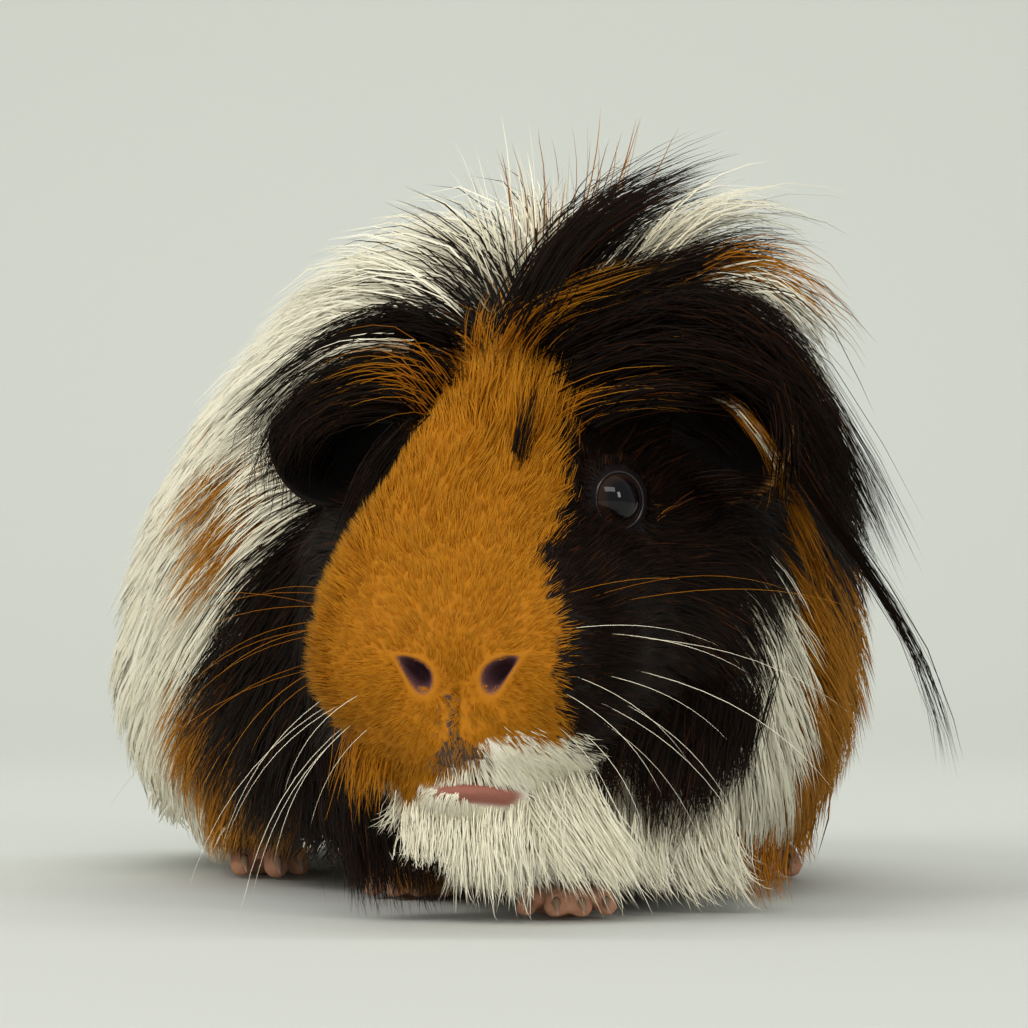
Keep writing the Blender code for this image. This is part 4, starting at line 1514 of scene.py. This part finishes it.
LOCK = (
    (20, 56, 84), (27, 58, 85), (34, 55, 77), (41, 54, 64),
    (48, 55, 53), (54.5, 57, 43), (59.5, 59, 32), (61.8, 61, 21),
)


def on_head_line(rows):
    """A smooth line through places on the head."""
    return smooth_rows([on_head(*map(float, row)) for row in rows])


def dress(name, bundles, colour, node=None):
    """Joins bundles of hair in one piece."""
    path, outs = (np.concatenate([one[k] for one in bundles], axis=1) for k in range(2))
    width = np.concatenate([one[2] for one in bundles])
    tufts = np.arange(len(width)) // HAIRS_IN_TUFT
    rounded = ROUNDED_CREAM if colour == "cream" else ROUNDED
    piece = spikes(name, path, outs, width, tufts, False, rounded=rounded)
    piece.data.materials.append(FURS[colour])
    if node:
        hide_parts(node)
    return piece


lock_line = on_head_line(LOCK)
loose = bundle(lock_line, 90, (3.8, 1.4), (0.3, 0.66), LOCK_HAIR, 7, 5)
tight = bundle(lock_line, 110, (1.8, 0.05), (0.45, 1.02), LOCK_HAIR, 7, 6)
dress("lock_hair", [loose, tight], "black", "lock_left")

# %% [markdown]
# ## The fringe over the ears
#
# The longest hair of the head leaves the forehead beside the blaze, rises, and falls over the
# ears in arcs. The skin under it doesn't say that, so these arcs are drawn as lines, as a hair
# dresser would lay them, and filled with hair.

# %% The fringe
STREAMS = (  # piece, colour, hairs, spread at start and end, (side, back, height) along its middle
    ("fringe_left", "black", 480, (4.0, 4.4), (
        (0, 48, 84), (3, 50, 91), (7, 54, 98), (13, 60, 104), (19, 66, 108), (24, 72, 110.5))),
    ("fringe_left", "black", 330, (3.2, 3.4), (
        (3, 48, 82), (10, 50, 88), (17, 53, 92.4), (25, 57, 95.6), (32.5, 61, 98), (39.5, 65, 97.5))),
    ("fringe_left", "black", 560, (3.0, 4.6), (
        (3, 46, 79.5), (10.4, 47, 85), (19, 49, 88), (28.5, 52, 87.5), (35.6, 55, 83.5),
        (40.5, 58, 76.5), (45, 60, 68), (49, 61, 60), (52.5, 62, 51))),
    ("fringe_left", "black", 480, (3.0, 3.8), (
        (5, 44, 75.5), (12.3, 45, 80), (21, 47, 82), (29, 50, 80.5), (35.5, 52, 77.5), (41, 56, 72),
        (45, 59, 64), (48.5, 61, 56))),
    ("fringe_left", "black", 300, (2.4, 3.4), (
        (7.6, 42, 70), (15, 43, 74.4), (22, 46, 76), (28, 50, 75.5), (33, 54, 76))),
    ("fringe_left", "black", 300, (4.0, 4.0), (
        (12, 52, 84), (20, 56, 89), (28, 60, 90), (35, 63, 86), (39, 66, 79), (42, 68, 70))),
    ("fringe_pale", "cream", 120, (3.4, 5.5), (
        (16, 62, 95), (21, 66, 101), (27, 70, 104.4), (34, 74, 104.6), (39, 78, 102.5))),
    ("fringe_pale", "cream", 80, (2.4, 5.0), (
        (22, 58, 91), (32, 60, 92), (38, 62, 89), (41, 64, 86), (44, 66, 83))),
    ("fringe_tan", "brown", 110, (2.4, 5.0), (
        (23.6, 59, 91.7), (30, 62, 95), (36.5, 65, 94.5), (43, 68, 90.6), (47, 70, 85))),
    ("fringe_right", "black", 360, (2.6, 3.6), (
        (-10, 48, 83.5), (-18, 50, 86.5), (-27, 53, 84.8), (-35.4, 57, 80.7), (-42.7, 60, 75),
        (-47, 62, 71))),
    ("fringe_pale", "cream", 130, (2.0, 2.6), (
        (-16, 47, 82), (-20, 48, 82.6), (-27, 50, 82), (-36.3, 54, 77), (-43.7, 58, 71))),
    ("fringe_right", "black", 420, (2.8, 3.6), (
        (-10, 45, 78), (-19, 47, 80), (-28, 49, 79), (-35.4, 52, 74.4), (-40, 55, 67.8), (-39.5, 57, 61))),
    ("fringe_right", "black", 380, (2.6, 3.4), (
        (-12.7, 43, 74), (-20, 45, 75.4), (-28.5, 48, 74.2), (-35, 51, 69), (-36.5, 53, 63))),
    ("streaks_ginger", "ginger", 60, (3.4, 4.4), (
        (-3, 44, 80), (2.7, 46, 88), (11.4, 48, 91.5), (18.6, 50, 94), (24, 52, 95))),
    ("streaks_ginger", "ginger", 46, (3.4, 3.6), (
        (-1, 43, 77), (2, 44.5, 83.5), (8.4, 46, 88.8), (16, 48, 89.5))),
    ("streaks_ginger", "ginger", 16, (1.0, 1.4), ((12, 44.5, 80.5), (19.5, 46, 82.6), (27, 48.5, 81.6))),
    ("streaks_ginger", "ginger", 70, (3.0, 3.6), (
        (5.0, 39.0, 67), (7.3, 41, 71.4), (12, 43, 74.3), (19.6, 46, 75.6), (25, 49, 75))),
    ("streaks_ginger", "ginger", 16, (1.2, 1.6), (
        (17.8, 40, 54.6), (19.4, 41.5, 56.4), (21.2, 43.6, 58.2), (23.5, 46, 58.6))),
    ("streaks_ginger", "ginger", 40, (3.6, 4.4), (
        (-9, 41, 74.5), (-14, 42.5, 80), (-21, 44.5, 80.6), (-30, 48, 77.5))),
    ("streaks_ginger", "ginger", 46, (3.4, 4.2), (
        (-10.5, 40, 71.5), (-15, 41, 76), (-22, 43.5, 76.4), (-31, 48, 73))),
    ("streaks_ginger", "ginger", 20, (2.0, 3.0), ((-7, 46, 81), (-7, 48, 87), (-5.5, 50, 92))),
    ("brow_dark", "black", 160, (3.2, 3.2), ((-13, 38, 70), (-18, 38, 65), (-21, 39, 59), (-24, 41, 52))),
    ("streaks_black", "black", 40, (1.5, 1.8), ((3.6, 26, 64.0), (4.2, 30.5, 71.0), (5.2, 36, 77.5))),
    ("streaks_ginger", "ginger", 14, (2.6, 3.2), ((11, 33, 48), (14, 36, 49), (17.5, 39, 49.5))),
    ("crown_tips", "cream", 44, (4.0, 7.0), ((-7, 72, 96), (-10, 76, 106), (-14, 80, 113))),
    ("crown_tips", "cream", 44, (4.0, 7.0), ((-1, 72, 98), (-2, 76, 108), (-4, 80, 116))),
    ("crown_tips", "brown", 22, (4.0, 7.0), ((-2, 72, 98), (-3, 76, 108), (-6, 80, 116))),
    ("crown_tips", "brown", 22, (4.0, 7.0), ((6, 72, 100), (8.4, 76, 110), (9, 80, 117.5))),
)
SHORT = (  # the same for short hair, which starts all along its line
    ("ear_hair", "ginger", 70, (0.9, 1.4), (
        (26.6, 51.5, 75), (31, 51.5, 74), (35.6, 51.5, 68.7), (38.5, 52, 63), (38, 52.5, 59))),
    ("ear_pale", "cream", 22, (0.9, 1.2), (
        (26.6, 51.5, 75), (31, 51.5, 74), (35.6, 51.5, 68.7), (38.5, 52, 63))),
    ("ear_dark", "black", 200, (3.0, 3.0), (
        (23, 48, 60), (28.5, 49, 61.5), (34, 50.5, 61.5), (38.5, 52, 60))),
    ("ear_hair", "brown", 120, (1.6, 3.0), ((36, 62, 64), (39, 63, 58), (42, 65, 51), (44, 68, 44))),
    ("ear_dark", "black", 130, (2.2, 2.4), (
        (38, 46, 77), (39.6, 46, 71), (39.6, 46.5, 66), (39, 47.5, 60))),
    ("ear_dark", "black", 160, (3.0, 3.0), ((22, 54, 74), (28, 58, 71), (32, 60, 66), (33, 61, 60))),
    ("ear_dark", "black", 200, (3.6, 3.6), ((-22, 50, 77), (-30, 54, 73), (-35, 57, 66), (-36, 59, 58))),
)
DEEP_FROM = 68  # streams that end this far back are spread wider from front to back
STREAK_HAIR, STREAM_HAIR, SHORT_HAIR = 0.17, 0.24, 0.22  # widths
pieces = {}
for number, (word, colour, hairs, spread, rows) in enumerate(STREAMS):
    width = STREAK_HAIR if word.startswith("streaks") else STREAM_HAIR
    deep = 1.5 if rows[-1][1] < DEEP_FROM else 3.2
    one = bundle(on_head_line(rows), hairs, spread, (0.4, 1.0), width, 5, 20 + number, deep=deep)
    pieces.setdefault((word, colour), []).append(one)
for number, (word, colour, hairs, spread, rows) in enumerate(SHORT):
    one = bundle(on_head_line(rows), hairs, spread, (0.3, 0.45), SHORT_HAIR, 3, 70 + number, rooted=0.7)
    pieces.setdefault((word, colour), []).append(one)
for (word, colour), bundles in pieces.items():
    dress(word, bundles, colour)

# %% [markdown]
# ## Hair of the lids
#
# Hair grows right up to the edge of a guinea pig's lids, very short and pointing away from the
# eye. Left to the coat's own fields it would lie across the eye, so it is grown here from the
# eye's own axis: each hair starts near the lids' edge and runs down the bulge of the lid.

# %% Lid hair
LID_HAIRS = 900  # round each eye
LID_HAIR_WIDTH = 0.17
lid_draw = np.random.default_rng(9)
lid_paths = []
for way, eye in EYES.items():
    axis = unit(GAZE[way])
    first = unit(np.cross(axis, UP))
    second = np.cross(first, axis)
    spin = lid_draw.uniform(0, 2 * np.pi, LID_HAIRS)
    facing = LID_OPENING + 0.03 + lid_draw.uniform(0, 0.75, LID_HAIRS)
    length = lid_draw.uniform(1.8, 3.4, LID_HAIRS)
    path = []
    for k in range(4):
        angle = facing + length * k / 3 / (LID_HEIGHT + 1)
        round_axis = np.multiply.outer(np.cos(spin), first) + np.multiply.outer(np.sin(spin), second)
        away = np.multiply.outer(np.cos(angle), axis) + np.sin(angle)[:, None] * round_axis
        path.append(eye + away * (LID_HEIGHT + 0.25 + 0.32 * k))
        spin = spin + lid_draw.normal(size=LID_HAIRS) * 0.03
    lid_paths.append(np.array(path))
path = np.concatenate(lid_paths, axis=1)
outs = np.concatenate([unit(one - eye) for one, eye in zip(lid_paths, EYES.values())], axis=1)
width = LID_HAIR_WIDTH * np.exp(0.2 * lid_draw.normal(size=path.shape[1]))
lid_hair = spikes("lid_hair", path, outs, width, np.arange(len(width)) // 6, True)
lid_hair.data.materials.append(FURS["black"])
print(len(width), "hairs round the eyes")

# %% [markdown]
# ## Bib
#
# Under the chin the hair hangs free to the floor and spreads over the forefeet. Its roots are on
# skin that faces down, where a coat that lies on the skin would never fall forward, so it is laid
# in short curtains from the jaw.

# %% Hair that hangs from the chin and chest
BIB_LOCKS = 44
DARK_LOCKS = 14
CHIN_LOCKS = 18
CORNER_LOCKS = 14
JOWL_LOCKS = 22
BEARD_LOCKS = 12
HEM_LOCKS = 6
bib_draw = np.random.default_rng(4)
bibs = {"cream": [], "black": [], "ginger": [], "brown": []}
BIB_HAIR = 0.17  # width


def hang(colour, rows, count, spread, reach, rooted):
    """A lock that hangs along rows. Its hairs all face forward, so that they shade as one."""
    seed = 100 + sum(map(len, bibs.values()))
    path, outs, width = bundle(
        on_head_line(rows), count, spread, reach, BIB_HAIR, 4, seed, rooted=rooted, deep=0.3
    )
    forward = unit(-BACK + 0.25 * UP + 0.035 * (rows[0][0] - 4) * SIDE)
    path[0] += 2.2 * BACK + 0.6 * UP
    bibs[colour].append((path, unit(0.25 * outs + forward), width))


# %% The white bib, and dark hair beside it
for k in range(BIB_LOCKS):
    side = -9.0 + 40.0 * k / BIB_LOCKS + bib_draw.normal() * 0.8
    deeper = bib_draw.uniform(0, 5)
    back = 10.5 + deeper + 0.012 * (side - 5) ** 2 + 20 * step(side, 10, 26)
    top = 15.2 - 0.25 * deeper + bib_draw.normal() * 1.2
    top = top - 2.5 * bump(side - 24, 7.0) + 1.2 * step(side, -3, -9)
    paw = bump(side - 12.5, 7.0) * 4.4
    end = min(2.2 + paw + bib_draw.uniform(0, 1.8) + 1.3 * max(0.5 - side, 0), top - 5)
    swing = 0.16 * (side - 5) + bib_draw.normal() * 0.8
    rows = (
        (side, back, top), (side + 0.25 * swing, back - 0.8, top - 0.30 * (top - end)),
        (side + 0.6 * swing, back + 1.0, top - 0.68 * (top - end)), (side + swing, back + 3.0, end),
    )
    hang("cream", rows, 60, (3.6 - 1.6 * step(side, -2, -8), 1.8), (0.5, 1.06), 0.3)
for k in range(DARK_LOCKS):
    side = -20.0 + 17.0 * k / DARK_LOCKS + bib_draw.normal() * 0.8
    back = 17 + bib_draw.uniform(0, 5)
    top = 18 + bib_draw.normal()
    rows = (
        (side - 1.5, back, top), (side - 1, back - 1, top - 5),
        (side, back - 1.5, top - 10), (side + 1, back - 2, 2.6),
    )
    hang("black", rows, 50, (3.4, 2.0), (0.4, 1.02), 0.4)
print(len(bibs["cream"]), "cream locks and", len(bibs["black"]), "black ones")

# %% Chin and the corner of the mouth
for k in range(CHIN_LOCKS):
    side = -9.0 + 17.0 * (k + 0.5) / CHIN_LOCKS + bib_draw.normal() * 0.7
    back = 5.6 + 0.028 * (side - 1) ** 2
    top = 16.2 + bib_draw.normal() * 0.6
    end = min(4.5 + bib_draw.uniform(0, 3) + 1.3 * max(-side, 0), top - 4.5)
    swing = 0.10 * (side - 3) + bib_draw.normal() * 0.5
    rows = (
        (side, back, top), (side, back + 0.8, top - 3),
        (side + 0.4 * swing, back + 2.4, top - 6), (side + swing, back + 4.5, end),
    )
    hang("cream", rows, 40, (1.8, 2.0), (0.4, 0.9), 0.4)
for k in range(CORNER_LOCKS):
    side = 5.0 + 10.0 * (k + 0.5) / CORNER_LOCKS + bib_draw.normal() * 0.5
    back = 7.0 + 0.6 * (side - 4) + bib_draw.uniform(0, 1.5)
    top = 20.5 - 0.12 * (side - 5) + bib_draw.normal() * 0.8
    rows = (
        (side, back, top), (side + 2.8, back + 1.6, top - 5),
        (side + 5.6, back + 5, top - 10), (side + 7.5, back + 9, top - 14.5),
    )
    hang("cream", rows, 46, (2.2, 2.4), (0.45, 0.95), 0.5)
print(len(bibs["cream"]), "cream locks now")

# %% Left jowl, hem and beard
for k in range(JOWL_LOCKS):
    side = 16.0 + 19.0 * k / JOWL_LOCKS + bib_draw.normal() * 0.8
    back = 19.5 + 1.5 * max(side - 18, 0) + bib_draw.uniform(0, 3)
    end = 9.4 + 0.85 * abs(side - 24.5) + bib_draw.uniform(-0.8, 2.2)
    top = end + 15
    rows = (
        (side + 1, back + 4, top), (side + 1, back, top - 5),
        (side + 0.4, back - 0.6, top - 10), (side + bib_draw.normal(), back + 1, end),
    )
    hang("black", rows, 54, (3.4, 1.0), (0.4, 1.02), 0.3)
for k in range(HEM_LOCKS):
    side = 32.0 + 6.0 * k / HEM_LOCKS
    rows = ((side, 50, 9), (side + 0.5, 48, 6.5), (side + 1, 47, 4.2), (side + 1.5, 47, 2.0))
    hang("brown", rows, 24, (3.4, 2.0), (0.5, 1.0), 0.3)
for k in range(BEARD_LOCKS):
    side = -9.5 - 8.0 * k / BEARD_LOCKS + bib_draw.normal() * 0.6
    back = 7.5 + 0.5 * (-side - 9.5) + bib_draw.uniform(0, 1.5)
    end = 14.5 + 0.25 * (-side - 9.5) + bib_draw.uniform(0, 4)
    rows = (
        (side + 1, back, end + 13), (side + 0.4, back + 0.6, end + 8),
        (side - 0.6, back + 1.6, end + 4), (side - 1.2, back + 3, end),
    )
    hang("ginger", rows, 30, (2.6, 2.6), (0.35, 0.9), 0.5)
for colour, bundles in bibs.items():
    dress("bib_" + colour, bundles, colour)
print({colour: len(bundles) for colour, bundles in bibs.items()}, "locks in the bib")

# %% [markdown]
# ## Whiskers
#
# Whiskers stand in rows on the flank of the muzzle. The upper ones point out and back, the lower
# ones droop, and each bends under its own weight. They are the thickest hairs of the animal, and
# taper evenly to a hair's point.

# %% Whiskers
WHISKER_WIDTH = 0.10
WHISKER_ROWS = 5
WHISKER_COLUMNS = {-1: 4, 1: 3}  # on the right and on the left
whisker_draw = np.random.default_rng(12)


def whisker(root, start, droop, length, bends=9):
    """A path that leaves the root in one direction and sags more and more."""
    place, heading, path = np.array(root, float), unit(np.array(start, float)), []
    for k in range(bends + 1):
        path.append(place)
        heading = unit(heading - UP * (droop * (0.4 + k / bends) / bends))
        place = place + heading * (length / bends)
        place[2] = max(place[2], 0.5)
    return np.array(path)


whiskers = {"ginger": [], "cream": []}
for way, columns in WHISKER_COLUMNS.items():
    for row in range(WHISKER_ROWS):
        low = row / (WHISKER_ROWS - 1)
        for column in range(columns):
            height = 43.5 - 15.0 * low + whisker_draw.uniform(-0.8, 0.8)
            back = 7.0 + 3.2 * column + whisker_draw.uniform(-0.6, 0.6)
            side = way * (13.5 + 1.9 * column - 1.5 * abs(low - 0.4))
            place = on_head(side, back, height)
            high, out = height_over_skin(place[None])[:2]
            root = place - out[0] * high[0]
            climb = 0.22 - 0.95 * low + whisker_draw.normal() * 0.10
            start = way * SIDE + BACK * (0.35 if way < 0 else 0.62) + UP * climb + out[0] * 0.2
            length = (20 + 7 * column - 4 * low) * whisker_draw.uniform(0.7, 1.25)
            droop = 0.6 + 1.1 * low if way < 0 else 0.35 + 0.8 * low
            path = whisker(root, start, droop + 0.5 * whisker_draw.random(), length)
            pale = low > 0.55 or (way > 0 and low > 0.2)
            whiskers["cream" if pale else "ginger"].append(path)
for colour, paths in whiskers.items():
    path = np.array(paths).transpose(1, 0, 2)
    outs = np.broadcast_to(-BACK * 0.8 + UP * 0.6, path.shape)
    width = WHISKER_WIDTH * whisker_draw.uniform(0.75, 1.15, path.shape[1])
    piece = spikes("whiskers_" + colour, path, outs, width, np.arange(len(width)), True, flat=1.0)
    piece.data.materials.append(FURS[colour])
print(sum(map(len, whiskers.values())), "whiskers")
coat = [o for o in scene.objects if o.type == "MESH" and "OFBake" in o.data.uv_layers]
coat_sizes = [len(o.data.polygons) for o in coat]
print(len(coat), "coat pieces,", sum(coat_sizes), "triangles, most", max(coat_sizes))
